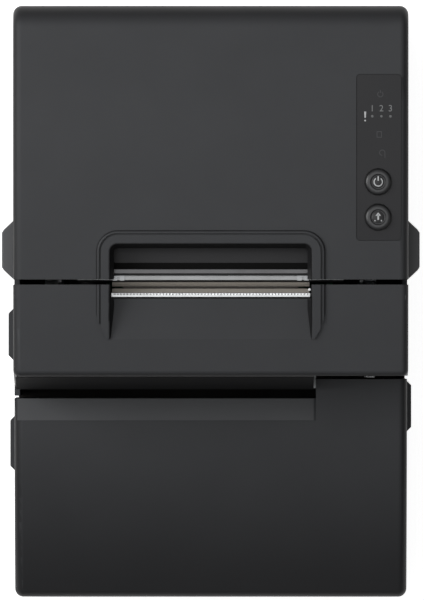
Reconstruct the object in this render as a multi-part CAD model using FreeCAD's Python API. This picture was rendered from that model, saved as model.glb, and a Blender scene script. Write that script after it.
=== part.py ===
import FreeCAD, Part
import math
import os

# Desktop receipt printer with a slip printer in front, in millimetres.
# +X is to the operator's right, +Y to the rear, +Z up.
# The origin is on the table, below the middle of the outer box.

# Overall size
BODY_W = 185.0
BODY_D = 278.0
BODY_H = 184.0
WALL = 2.5
EDGE_R = 4.0

# Gaps: between covers, between running parts, round a pin, and how far a cutter overshoots
LID_GAP = 0.5
RUN_GAP = 0.3
PIN_GAP = 0.05
OVER = 1.0

# Base plate, feet and bottom screws
FOOT_H = 3.0
FOOT_R = 8.0
FOOT_EDGE_R = 0.8
FOOT_IN = 20.5
FOOT_FRONT_IN = 27.0
FOOT_REAR_IN = 21.0
PLATE_T = 1.2
PLATE_RIM = 3.3
PLATE_LEDGE_IN = 1.0
PLATE_FRONT_IN = 12.0
SCREW_R = 1.5
SCREW_L = 10.0
SCREW_HEAD_R = 2.8
SCREW_HEAD_H = 1.4
SCREW_HEAD_EDGE = 0.6
SCREW_SLOT_L = 3.2
SCREW_SLOT_W = 0.7
SCREW_IN = 8.5
SCREW_FRONT_Y = -24.0
SCREW_MIDDLE_Y = 52.0
SCREW_REAR_IN = 13.0
POST_R = 3.6
POST_H = 16.0
POST_BORE = 12.0
POST_WEB_T = 2.0

# Covers above the case
COVER_H = 66.0
SEAM_Y = 9.7
SEAM_GAP = 2.4
CREST_BACK = 44.0
CROWN_R = 693.0
REAR_EDGE_R = 11.0

# Roll cover hinge
HINGE_R = 7.5
HINGE_PIN_R = 2.5
HINGE_PIN_L = 9.0
HINGE_END = 1.0
EAR_T = 3.0
EAR_R = 4.5
EAR_DROP = 20.0
EAR_WEB_DROP = 2.0

# Front lid over the ribbon
LID_FRONT_Y = -34.4
LID_FOOT_Y = -40.6
LID_NOSE_R = 3.5
LID_EDGE_R = 3.4
LID_PIVOT_Y = 3.0
LID_PIVOT_DROP = 5.0
LID_PIN_R = 1.5
LID_BOSS_L = 6.0
LID_BOSS_HALF = 3.0
LID_EAR_WALL = 0.7
LID_EAR_CLEAR = 2.0
LID_GRIP = (-27.0, -2.6)

# Collar round the receipt exit
EXIT_W = 94.0
EXIT_BACK_Y = 27.3
COLLAR_BAND = 4.4
COLLAR_RAMP = 2.2
COLLAR_RISE = 1.2
COLLAR_EDGE_R = 1.0
COLLAR_GROOVE = 0.9
COLLAR_R = 3.5
COLLAR_TIP_Y = -17.0
EXIT_DEPTH = 12.0
RAMP_FOOT_Y = 2.0
RAMP_DROP = 7.0

# Control panel, its board and its two keys
PANEL_IN = 13.9
PANEL_Y = 68.0
PANEL_W = 20.8
PANEL_L = 77.6
PANEL_T = 1.2
PANEL_R = 1.7
PANEL_BOARD_DROP = 8.0
PANEL_BOARD_IN = 1.0
PANEL_BOARD_FRONT = 10.0
PANEL_BOARD_REAR = 12.0
PANEL_POST_R = 1.8
PANEL_POST_FRONT = 8.0
PANEL_POST_REAR = 9.0
KEY_OFF = 0.3
KEY_R = 6.2
KEY_TRAVEL = 0.8
KEY_SKIRT_DROP = 0.9
KEY_SKIRT_T = 0.8
KEY_SKIRT_OUT = 1.4
KEY_STEM_R = 2.2
KEY_RISE = 1.3
KEY_DISH = 0.7
POWER_KEY_Y = 56.5
FEED_KEY_Y = 40.0
DOME_H = 1.2
DOME_R = 2.5
LIGHT_R = 0.6
LIGHT_Y = 87.2
LIGHT_OFFS = (-3.1, 1.2, 5.4)

# Front unit, the slip table
MOUTH_Y = -45.0
MOUTH_CREST_Y = -55.6
MOUTH_RIGHT_IN = 42.9
MOUTH_DROP = 2.5
TABLE_DROP = 72.0
TABLE_R = 208.0
TABLE_SLOPE = 8.0
TABLE_NOSE_R = 6.0
BLOCK_BACK_Y = -36.0
BLOCK_GAP = 1.8
UNIT_BOTTOM = 8.0
UNIT_PIVOT_Z = 12.0
UNIT_PIVOT_IN = 8.0
UNIT_PIN_R = 2.5
UNIT_BOSS_L = 8.0
UNIT_BOSS_WALL = 1.5
UNIT_EAR_T = 2.0
UNIT_EAR_FRONT = 2.0
UNIT_EAR_BACK = 8.0
UNIT_WINDOW_DROP = 24.0
UNIT_LEFT_GRIP = (-79.6, -53.2)
UNIT_RIGHT_GRIP = (-61.2, -36.6)

# Finger tabs on the sides, and the latch that the levers turn
LEVER_OUT = 5.5
LEVER_T = 9.0
LEVER_REAR_Y = 38.4
LEVER_FRONT_Y = 11.2
LEVER_CHAMFER = 1.0
LEVER_SLOPE = 1.5
LEVER_EDGE_R = 0.8
GRIP_OUT = 2.4
GRIP_H = 14.0
GRIP_EDGE_R = 0.6
HOOK_IN = 4.0
HOOK_T = 2.0
HOOK_DROP = 18.0
HOOK_W = 3.5
HOOK_TOE = 2.3
HOOK_HUB_R = 5.0
CATCH_R = 2.0
CATCH_LIFT = 6.0
CATCH_BACK = 5.2
CATCH_LAND = 8.7
CATCH_LAND_RISE = 3.8

# Side frames of the mechanism
FRAME_IN = 22.5
FRAME_T = 1.2
FRAME_FRONT_Y = -31.0
FRAME_REAR_Y = 60.0
FRAME_DROP = 34.0
FRAME_REAR_DROP = 14.0
FRAME_EAR_FRONT = 6.0
FRAME_EAR_DROP = 3.0
FRAME_LAND = 1.5
FRAME_LAND_RISE = 4.0
FRAME_SHOULDER = 6.0
FRAME_SHOULDER_RISE = 2.0
NOTCH_FLARE = 5.0
FOOT_FLANGE = 9.0
FLANGE_IN = 4.0

# Receipt mechanism
PLATEN_Y = 16.2
PLATEN_DROP = 38.0
PLATEN_R = 8.0
PLATEN_L = 82.0
PLATEN_CHAMFER = 0.6
SHAFT_R = 3.0
SHAFT_END = 1.0
BEARING_R = 5.0
BEARING_LIP = 1.0
GEAR_MODULE = 0.8
GEAR_DEDENDUM = 1.15
GEAR_ADDENDUM = 0.9
TOOTH_ROOT_SHARE = 0.315
TOOTH_TIP_SHARE = 0.115
GEAR_W = 5.0
GEAR_STAND = 1.2
PLATEN_TEETH = 24
FEED_TEETH = 30
PINION_TEETH = 12
BACKLASH = 0.15
FEED_AXLE_R = 2.0
FEED_AXLE_HEAD = 1.2
MOTOR_BOSS_R = 5.0
MOTOR_R = 17.5
MOTOR_EDGE_R = 1.2
MOTOR_SIDE_GAP = 4.7
MOTOR_ANGLE = 48.0
MOTOR_STUB = 3.0
MOTOR_SHAFT_R = 1.5
BRACKET_IN = 6.0
BRACKET_T = 1.6
BRACKET_FRONT = 1.8
BRACKET_LIP_BACK = 1.3
BRACKET_LIP_T = 1.4
BRACKET_LIP_H = 3.0
BRACKET_TAB_W = 10.0
BRACKET_RING = 1.0
HEAD_T = 1.0
HEAD_H = 22.0
SINK_T = 5.0
SINK_OUT = 4.0
SINK_GROOVES = 5
SINK_GROOVE_W = 1.6
SINK_GROOVE_PITCH = 4.0
SINK_GROOVE_DEPTH = 2.0
SPRING_L = 5.2
SPRING_R = 2.2
SPRING_WIRE_R = 0.4
SPRING_PITCH = 1.6
SPRING_OUT = 1.5
SPRING_SEAT = 0.2
HEAD_REST_T = 1.5

# Cutter and tear bar
BLADE_DROP = 24.6
BLADE_T = 0.8
BLADE_STROKE = 8.0
BLADE_OVERLAP = 2.9
BLADE_GAP = 0.2
BLADE_IN = 10.0
BLADE_V = 3.0
FIXED_EDGE_OUT = 1.2
FIXED_EDGE_T = 0.5
FIXED_BLADE_BACK = 6.0
CUTTER_Y = -10.0
CUTTER_TEETH = 10
CUTTER_SHAFT_R = 2.0
CUTTER_FRONT_Y = -24.0
CUTTER_CHEEK_H = 10.0
CUTTER_CHEEK_BACK = 4.0
CUTTER_MOTOR_L = 14.0
CUTTER_MOTOR_HALF = 8.0
CUTTER_MOTOR_DROP = 10.0
CUTTER_MOTOR_R = 2.0
CUTTER_KEY_L = 6.0
RACK_IN = 14.0
RACK_W = 5.0
RACK_H = 1.8
RACK_PITCH_DROP = 1.0
RACK_CLEAR = 1.1
RACK_ROOT_SHARE = 0.30
RACK_TIP_SHARE = 0.11
RACK_TEETH_BACK = 4
RACK_LEAD = 0.4
RACK_TEETH_FRONT = 2
ROOF_DROP = 21.0
TEAR_FRONT_Y = 2.4
TEAR_REAR_Y = 4.7
TEAR_DROP = 13.4
TEAR_EDGE = 0.4

# Slip mechanism
SLIP_DROP = 76.5
SLIP_GAP = 2.5
GUIDE_T = 1.0
GUIDE_REAR_Y = -2.5
ROLLER_SHAFT_Y = -25.0
ROLLER_R = 5.0
ROLLER_HALF = 6.0
ROLLER_WINDOW = 6.0
ROLLER_SIDE_GAP = 0.8
ROLLER_LIFT = 1.0
ROLLER_LEFT_IN = 24.0
ROLLER_RIGHT_IN = 32.0
PINCH_R = 4.0
PINCH_SHAFT_R = 1.5
PINCH_SHAFT_IN = 10.0
PINCH_ARM_IN = 12.0
PINCH_ARM_T = 1.5
PINCH_ARM_HALF = 4.0
PINCH_ARM_RISE = 3.0
SLIP_GEAR_TEETH = 24
SLIP_PINION_TEETH = 12
SLIP_MOTOR_R = 11.0
SLIP_MOTOR_GAP = 4.0
SLIP_MOTOR_ANGLE = 30.0
STOPPER_Y = -5.0
STOPPER_T = 1.0
STOPPER_TRAVEL = 4.0
STOPPER_TOOTH_W = 8.0
STOPPER_PITCH = 24.0
STOPPER_BAR_DROP = 8.0
STOPPER_BAR_H = 3.0
STOPPER_CLEAR = 0.5
PLUNGER_R = 2.0
PLUNGER_L = 18.0
SOLENOID_R = 7.0
SOLENOID_H = 18.0
SOLENOID_DROP = 13.0
SOLENOID_BORE = 12.0
SOLENOID_FOOT = 8.0
SOLENOID_HALF_W = 9.0
SOLENOID_SHEET = 1.5

# Carriage of the impact head
HEAD_Y = -14.0
HEAD_WINDOW = 5.0
HEAD_BARREL_R = 5.0
HEAD_BARREL_H = 5.0
HEAD_NOSE_W = 3.0
HEAD_NOSE_L = 6.0
HEAD_NOSE_LIFT = 2.2
CARRIAGE_W = 26.0
CARRIAGE_H = 17.4
CARRIAGE_LIFT = 5.7
CARRIAGE_FRONT = 6.0
CARRIAGE_CHAMFER = 5.0
CARRIAGE_REAR_Y = -5.4
CARRIAGE_TAB_T = 1.1
CARRIAGE_END_IN = 34.0
CARRIAGE_ROD_Y = -10.0
CARRIAGE_ROD_DROP = 60.0
CARRIAGE_ROD_R = 3.0
PULLEY_IN = 12.0
PULLEY_DROP = 62.0
PULLEY_R = 6.0
PULLEY_SHAFT_R = 1.5
PULLEY_SHAFT_L = 2.0
PULLEY_PLATE_HALF = 9.0
PULLEY_PLATE_IN = 8.0
BELT_Y = -2.6
BELT_T = 1.2
BELT_W = 4.0
BELT_SEAT = 0.12
BELT_TO_PLATE = 0.8
CARRIAGE_MOTOR_R = 9.0
CARRIAGE_MOTOR_L = 18.0

# Ribbon cassette
CASSETTE_LIFT = 27.5
CASSETTE_H = 12.0
CASSETTE_IN = 7.0
CASSETTE_FRONT_Y = -29.0
CASSETTE_REAR_Y = -7.0
CASSETTE_R = 3.0
CASSETTE_EDGE_R = 0.8
CASSETTE_ARM_W = 3.0
CASSETTE_ARM_FRONT = 4.5
CASSETTE_ARM_REAR = 0.7
CASSETTE_ARM_LIFT = 1.2
CASSETTE_RAIL = (-28.0, -20.0)
CASSETTE_RAIL_T = 1.6
CASSETTE_RAIL_REACH = 6.0
RIBBON_T = 0.3
RIBBON_LIFT = 1.4
RIBBON_FRONT = 4.0
RIBBON_REAR = 0.5
KNOB_X = 40.0
KNOB_Y = -18.0
KNOB_R = 7.0
KNOB_H = 4.0
KNOB_RIDGES = 12
KNOB_RIDGE_H = 0.7
KNOB_STEM_R = 2.0
KNOB_STEM_L = 3.5

# Paper roll bay
ROLL_W = 83.0
ROLL_R = 42.0
ROLL_IN = 63.0
ROLL_DROP = 90.0
ROLL_CLEAR = 1.5
BAY_WALL = 1.8
RIB_FRONT = 24.0
RIB_REAR = 20.0
RIB_OVERLAP = 8.0

# Boards and the port bay
BOARD_T = 1.6
MAIN_BOARD_LIFT = 6.0
MAIN_BOARD_IN = 12.0
MAIN_BOARD_FRONT_Y = -26.0
MAIN_BOARD_REAR_GAP = 30.0
MAIN_POST_IN = 4.0
MAIN_POST_R = 2.5
CHIP_W = 12.0
CHIP_SPOTS = ((-40.0, -10.0), (10.0, 8.0), (28.0, -18.0))
BAY_SIDE_IN = 30.5
BAY_DEPTH = 24.0
BAY_DROP = 66.0
BAY_FLOOR = 8.0
PORT_Z = 12.0
PORT_OUT = 2.0
PORT_DEPTH = 14.0
PORT_BACK = 3.0
PORT_SHEET = 1.2
PORT_CLEAR = 0.2
PORT_FLANGE = 5.0
PORT_SIZES = {
    "power_inlet": (6.0, 16.0, 14.0),
    "drawer_port": (30.0, 14.0, 13.0),
    "network_port": (52.0, 16.0, 14.0),
    "host_port": (78.0, 12.4, 11.0),
}
INLET_R = 5.0
INLET_DEPTH = 10.0
TONGUE_W = 5.6
TONGUE_T = 3.2
TONGUE_L = 10.0
PORT_BOARD_IN = 2.0
PORT_BOARD_W = 96.0
PORT_BOARD_L = 15.6
PORT_BOARD_BACK = 0.4
PORT_POSTS = (26.0, 73.0)
PORT_POST_R = 2.0
PORT_POST_IN = 8.0

# Values worked out from the sizes above: outline and levels
HALF_W = BODY_W / 2
INNER_X = HALF_W - WALL
REAR_Y = BODY_D / 2
FRONT_Y = -BODY_D / 2
PLATE_TOP = FOOT_H + PLATE_T
CASE_TOP = BODY_H - COVER_H
COVER_FOOT = CASE_TOP + LID_GAP
TABLE_H = BODY_H - TABLE_DROP
SLIP_Z = BODY_H - SLIP_DROP
ROLL_Z = BODY_H - ROLL_DROP
ROLL_Y = REAR_Y - ROLL_IN
CREST_Y = REAR_Y - CREST_BACK
COVER_FRONT_Y = SEAM_Y + SEAM_GAP / 2
LID_REAR_Y = SEAM_Y - SEAM_GAP / 2
SCREW_SPOTS = [
    (side * (HALF_W - SCREW_IN), y)
    for side in (-1, 1)
    for y in (SCREW_FRONT_Y, SCREW_MIDDLE_Y, REAR_Y - SCREW_REAR_IN)
]
FOOT_SPOTS = [
    (side * (HALF_W - FOOT_IN), y)
    for side in (-1, 1)
    for y in (FRONT_Y + FOOT_FRONT_IN, REAR_Y - FOOT_REAR_IN)
]

# Worked out: hinges, panel, exit and front unit
HINGE_Y = REAR_Y - HINGE_R
HINGE_Z = COVER_FOOT + HINGE_R
KNUCKLE_X = INNER_X - HINGE_PIN_L - HINGE_END
EXIT_HALF = EXIT_W / 2
COLLAR_HALF = EXIT_HALF + COLLAR_BAND + COLLAR_RAMP
COLLAR_BACK_Y = EXIT_BACK_Y + COLLAR_BAND + COLLAR_RAMP
PANEL_X = HALF_W - PANEL_IN
KEY_X = PANEL_X - KEY_OFF
LIGHT_SPOTS = [(PANEL_X + off, LIGHT_Y) for off in LIGHT_OFFS]
MOUTH_RIGHT_X = HALF_W - MOUTH_RIGHT_IN
UNIT_PIVOT_Y = FRONT_Y + UNIT_PIVOT_IN
LEVER_PIVOT_Y = LEVER_REAR_Y - LEVER_T / 2


def vec(x, y, z):
    return FreeCAD.Vector(x, y, z)


def top_z(y):
    """Height of the crowned top surface at y."""
    return BODY_H - CROWN_R + math.sqrt(CROWN_R ** 2 - (y - CREST_Y) ** 2)


LID_PIVOT_Z = top_z(LID_PIVOT_Y) - LID_PIVOT_DROP
LID_SWING_R = math.hypot(LID_REAR_Y - LID_PIVOT_Y, top_z(LID_REAR_Y) + COLLAR_RISE - LID_PIVOT_Z)
PIVOT_EAR_R = LID_PIN_R + LID_EAR_WALL
LEVER_Z = (CASE_TOP + top_z(LEVER_PIVOT_Y)) / 2
CATCH_Z = LEVER_Z - HOOK_DROP + CATCH_LIFT

# Worked out: receipt mechanism and cutter
FRAME_X = HALF_W - FRAME_IN
FRAME_TOP = BODY_H - FRAME_DROP
HOOK_X = FRAME_X - HOOK_IN
BRACKET_X = FRAME_X - BRACKET_IN
PLATEN_Z = BODY_H - PLATEN_DROP
GEAR_X0 = FRAME_X + FRAME_T + GEAR_STAND
GEAR_X1 = GEAR_X0 + GEAR_W
FEED_Y = PLATEN_Y
FEED_Z = PLATEN_Z - (PLATEN_TEETH + FEED_TEETH) * GEAR_MODULE / 2 - BACKLASH
MOTOR_L = FRAME_X - ROLL_W / 2 - BAY_WALL - MOTOR_SIDE_GAP
MOTOR_DISTANCE = (FEED_TEETH + PINION_TEETH) * GEAR_MODULE / 2 + BACKLASH
MOTOR_Y = FEED_Y + MOTOR_DISTANCE * math.sin(math.radians(MOTOR_ANGLE))
MOTOR_Z = FEED_Z - MOTOR_DISTANCE * math.cos(math.radians(MOTOR_ANGLE))
HEAD_FACE_Y = PLATEN_Y - PLATEN_R - RUN_GAP
SINK_BACK_Y = HEAD_FACE_Y - HEAD_T - SINK_T
BLADE_Z = BODY_H - BLADE_DROP
BLADE_HALF = FRAME_X - BLADE_IN
FIXED_EDGE_Y = COVER_FRONT_Y - FIXED_EDGE_OUT
BLADE_REST_Y = FIXED_EDGE_Y + BLADE_OVERLAP - BLADE_STROKE
RACK_X = FRAME_X - RACK_IN
CUTTER_PITCH_R = CUTTER_TEETH * GEAR_MODULE / 2
CUTTER_Z = BLADE_Z - RACK_PITCH_DROP - CUTTER_PITCH_R - BACKLASH
ROOF_Z = BODY_H - ROOF_DROP
TEAR_TOP = BODY_H - TEAR_DROP

# Worked out: slip mechanism, carriage and cassette
ROLLER_SHAFT_Z = SLIP_Z - ROLLER_R - RUN_GAP + ROLLER_LIFT
ROLLER_X = (-FRAME_X + ROLLER_LEFT_IN, 0.0, FRAME_X - ROLLER_RIGHT_IN)
PINCH_Z = ROLLER_SHAFT_Z + ROLLER_R + PINCH_R + RUN_GAP
PINCH_ARMS = (-FRAME_X + PINCH_ARM_IN, FRAME_X - PINCH_ARM_IN - PINCH_ARM_T)
SLIP_MOTOR_L = ROLLER_RIGHT_IN - ROLLER_HALF - SLIP_MOTOR_GAP
SLIP_DISTANCE = (SLIP_GEAR_TEETH + SLIP_PINION_TEETH) * GEAR_MODULE / 2 + BACKLASH
SLIP_MOTOR_Y = ROLLER_SHAFT_Y + SLIP_DISTANCE * math.sin(math.radians(SLIP_MOTOR_ANGLE))
SLIP_MOTOR_Z = ROLLER_SHAFT_Z - SLIP_DISTANCE * math.cos(math.radians(SLIP_MOTOR_ANGLE))
STOPPER_TOP = SLIP_Z - GUIDE_T - RUN_GAP
CARRIAGE_REST_X = -FRAME_X + CARRIAGE_END_IN
CARRIAGE_LOW = SLIP_Z + CARRIAGE_LIFT
CARRIAGE_HIGH = CARRIAGE_LOW + CARRIAGE_H
CARRIAGE_ROD_Z = BODY_H - CARRIAGE_ROD_DROP
PULLEY_X = FRAME_X - PULLEY_IN
PULLEY_Z = BODY_H - PULLEY_DROP
PULLEY_PLATE_Y = BELT_Y + BELT_W + BELT_TO_PLATE
CASSETTE_LOW = SLIP_Z + CASSETTE_LIFT
CASSETTE_HIGH = CASSETTE_LOW + CASSETTE_H
CASSETTE_HALF = FRAME_X - CASSETTE_IN

# Worked out: roll bay, boards and ports
BAY_R = ROLL_R + ROLL_CLEAR
BAY_HALF_W = HALF_W - BAY_SIDE_IN
BAY_TOP = CASE_TOP - BAY_DROP
BAY_END_Y = REAR_Y - BAY_DEPTH
PORT_FACE_Y = BAY_END_Y + FRAME_T + PORT_OUT
PORTS = {
    name: (-BAY_HALF_W + off, -BAY_HALF_W + off + width, PORT_Z, PORT_Z + height)
    for name, (off, width, height) in PORT_SIZES.items()
}


def box(x0, x1, y0, y1, z0, z1):
    """Box between two corners."""
    return Part.makeBox(x1 - x0, y1 - y0, z1 - z0, vec(x0, y0, z0))


def rod_x(x0, x1, y, z, radius):
    return Part.makeCylinder(radius, x1 - x0, vec(x0, y, z), vec(1, 0, 0))


def rod_y(y0, y1, x, z, radius):
    return Part.makeCylinder(radius, y1 - y0, vec(x, y0, z), vec(0, 1, 0))


def rod_z(z0, z1, x, y, radius):
    return Part.makeCylinder(radius, z1 - z0, vec(x, y, z0), vec(0, 0, 1))


def on_yz(a, b):
    return vec(0, a, b)


def on_xy(a, b):
    return vec(a, b, 0)


def on_xz(a, b):
    return vec(a, 0, b)


def arc(middle, end):
    """Marks a curved stretch of an outline, through a middle point to an end."""
    return {"middle": middle, "end": end}


def outline(plane, path):
    """Closed face on a plane from points and arcs, in order."""
    edges = []
    start = path[0]
    here = start
    for step in path[1:] + [start]:
        curved = isinstance(step, dict)
        there = step["end"] if curved else step
        if curved:
            edges.append(Part.Arc(plane(*here), plane(*step["middle"]), plane(*there)).toShape())
        elif plane(*here).distanceToPoint(plane(*there)) > 1e-6:
            edges.append(Part.LineSegment(plane(*here), plane(*there)).toShape())
        here = there
    return Part.Face(Part.Wire(edges))


def slab_x(path, x0, x1):
    """Side profile given as (y, z), drawn out along X."""
    face = outline(on_yz, path)
    face.translate(vec(x0, 0, 0))
    return face.extrude(vec(x1 - x0, 0, 0))


def slab_z(path, z0, z1):
    """Plan outline given as (x, y), drawn out along Z."""
    face = outline(on_xy, path)
    face.translate(vec(0, 0, z0))
    return face.extrude(vec(0, 0, z1 - z0))


def slab_y(path, y0, y1):
    """Front outline given as (x, z), drawn out along Y."""
    face = outline(on_xz, path)
    face.translate(vec(0, y0, 0))
    return face.extrude(vec(0, y1 - y0, 0))


def fuse(shapes):
    """One clean solid from shapes that touch."""
    whole = shapes[0]
    if len(shapes) > 1:
        whole = shapes[0].fuse(shapes[1:])
    return whole.removeSplitter()


def mirrored(shape):
    """The shape and its copy on the other side of the middle plane."""
    return [shape, shape.mirror(vec(0, 0, 0), vec(1, 0, 0))]


def round_edges(shape, radius, wanted):
    """Fillets the edges whose middle point passes the test."""
    picked = []
    for edge in shape.Edges:
        first, last = edge.ParameterRange
        if wanted(edge.valueAt((first + last) / 2), edge):
            picked.append(edge)
    return shape.makeFillet(radius, picked)


def soft_box(x0, x1, y0, y1, z0, z1, radius):
    """Box with its upright edges rounded."""
    return round_edges(
        box(x0, x1, y0, y1, z0, z1),
        radius,
        lambda p, e: z0 + 1e-3 < p.z < z1 - 1e-3,
    )


def crown(y0, y1):
    """Arc of the crowned top surface from y0 to y1."""
    middle = (y0 + y1) / 2
    return arc((middle, top_z(middle)), (y1, top_z(y1)))


def on_side(point, half):
    return abs(abs(point.x) - half) < 1e-3


def roll_cover_block(inset):
    """Solid block of the roll cover's outline, taken in on all sides by inset."""
    rear = REAR_Y - inset
    front = COVER_FRONT_Y + inset
    foot = COVER_FOOT - (0 if inset == 0 else OVER)
    corner = REAR_EDGE_R - inset
    turn = rear - corner
    top = top_z(turn) - inset
    slant = corner * math.sqrt(0.5)
    barrel = HINGE_R - inset
    barrel_slant = barrel * math.sqrt(0.5)
    middle = (front + turn) / 2
    path = [
        (front, foot),
        (front, top_z(front) - inset),
        arc((middle, top_z(middle) - inset), (turn, top)),
        arc((turn + slant, top - corner + slant), (rear, top - corner)),
        (rear, HINGE_Z),
    ]
    if inset == 0:
        path.append(arc((HINGE_Y + barrel_slant, HINGE_Z - barrel_slant), (HINGE_Y, HINGE_Z - barrel)))
    else:
        path += [(HINGE_Y - HINGE_R, HINGE_Z), (HINGE_Y - HINGE_R, foot)]
    half = HALF_W - inset
    block = slab_x(path, -half, half)
    if inset > 0:
        return block
    return round_edges(
        block,
        EDGE_R,
        lambda p, e: on_side(p, half) and p.z > COVER_FOOT + LID_GAP and p.y > COVER_FRONT_Y + 1e-3,
    )


def collar_outline(grow, tip_grow=0.0):
    """Plan outline of the collar round the exit, grown outwards."""
    half = EXIT_HALF + grow
    back = EXIT_BACK_Y + grow
    radius = COLLAR_R + grow
    slant = radius * (1 - math.sqrt(0.5))
    tip = COLLAR_TIP_Y - tip_grow
    left = [
        (-half, back - radius),
        arc((-half + slant, back - slant), (-half + radius, back)),
    ]
    right = [
        (half - radius, back),
        arc((half - slant, back - slant), (half, back - radius)),
    ]
    return [(-half, tip)] + left + right + [(half, tip)]


def collar_legs_trim():
    """Cutter that leaves each leg of the collar a tip that curves in to its inner edge."""
    turn_y = COLLAR_TIP_Y + 3 * (COLLAR_BAND + COLLAR_RAMP)
    far = COLLAR_HALF + 2 * COLLAR_RAMP
    tip_x = EXIT_HALF + COLLAR_BAND / 3
    bulge = (COLLAR_HALF - COLLAR_RAMP / 2, (COLLAR_TIP_Y + turn_y) / 2 - COLLAR_RAMP)
    path = [
        (COLLAR_HALF, turn_y),
        arc(bulge, (tip_x, COLLAR_TIP_Y)),
        (tip_x, COLLAR_TIP_Y - 2 * COLLAR_RAMP),
        (far, COLLAR_TIP_Y - 2 * COLLAR_RAMP),
        (far, turn_y),
    ]
    return fuse(mirrored(slab_z(path, 0, 2 * BODY_H)))


def raised_layer(rise, y0, y1, depth):
    """Layer that follows the crowned top, from depth below it to rise above it."""
    middle = (y0 + y1) / 2
    path = [
        (y0, top_z(y0) - depth),
        (y0, top_z(y0) + rise),
        arc((middle, top_z(middle) + rise), (y1, top_z(y1) + rise)),
        (y1, top_z(y1) - depth),
        arc((middle, top_z(middle) - depth), (y0, top_z(y0) - depth)),
    ]
    return slab_x(path, -HALF_W, HALF_W)


def collar(y0, y1):
    """Raised collar between two depths: a rounded rim, a fine groove and a rounded band."""
    layer = raised_layer(COLLAR_RISE, COLLAR_TIP_Y - OVER, COLLAR_BACK_Y + OVER, WALL)
    ring = slab_z(collar_outline(COLLAR_BAND + COLLAR_RAMP), 0, 2 * BODY_H)
    hole = slab_z(collar_outline(0, 1), 0, 2 * BODY_H)
    bead = layer.common(ring).cut(hole)
    bead = round_edges(
        bead,
        COLLAR_EDGE_R,
        lambda p, e: p.z > top_z(p.y) + COLLAR_RISE - 1e-2 and p.y > COLLAR_TIP_Y + 1e-2,
    )
    bead = bead.cut(collar_legs_trim())
    groove_out = slab_z(collar_outline(COLLAR_BAND + COLLAR_GROOVE), 0, 2 * BODY_H)
    groove_in = slab_z(collar_outline(COLLAR_BAND, 1), 0, 2 * BODY_H)
    deep = raised_layer(2 * COLLAR_RISE, COLLAR_TIP_Y - OVER, COLLAR_BACK_Y + OVER, 0)
    bead = bead.cut(deep.common(groove_out.cut(groove_in)))
    return bead.common(box(-HALF_W, HALF_W, y0, y1, 0, 2 * BODY_H))


def panel_recess(depth, clearance):
    """Pocket for the control panel, from depth below the top surface upwards."""
    half_w = PANEL_W / 2 + clearance
    half_l = PANEL_L / 2 + clearance
    pocket = soft_box(
        PANEL_X - half_w,
        PANEL_X + half_w,
        PANEL_Y - half_l,
        PANEL_Y + half_l,
        0,
        2 * BODY_H,
        PANEL_R + clearance,
    )
    return pocket.common(raised_layer(BODY_H, PANEL_Y - PANEL_L, PANEL_Y + PANEL_L, depth))


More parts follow.
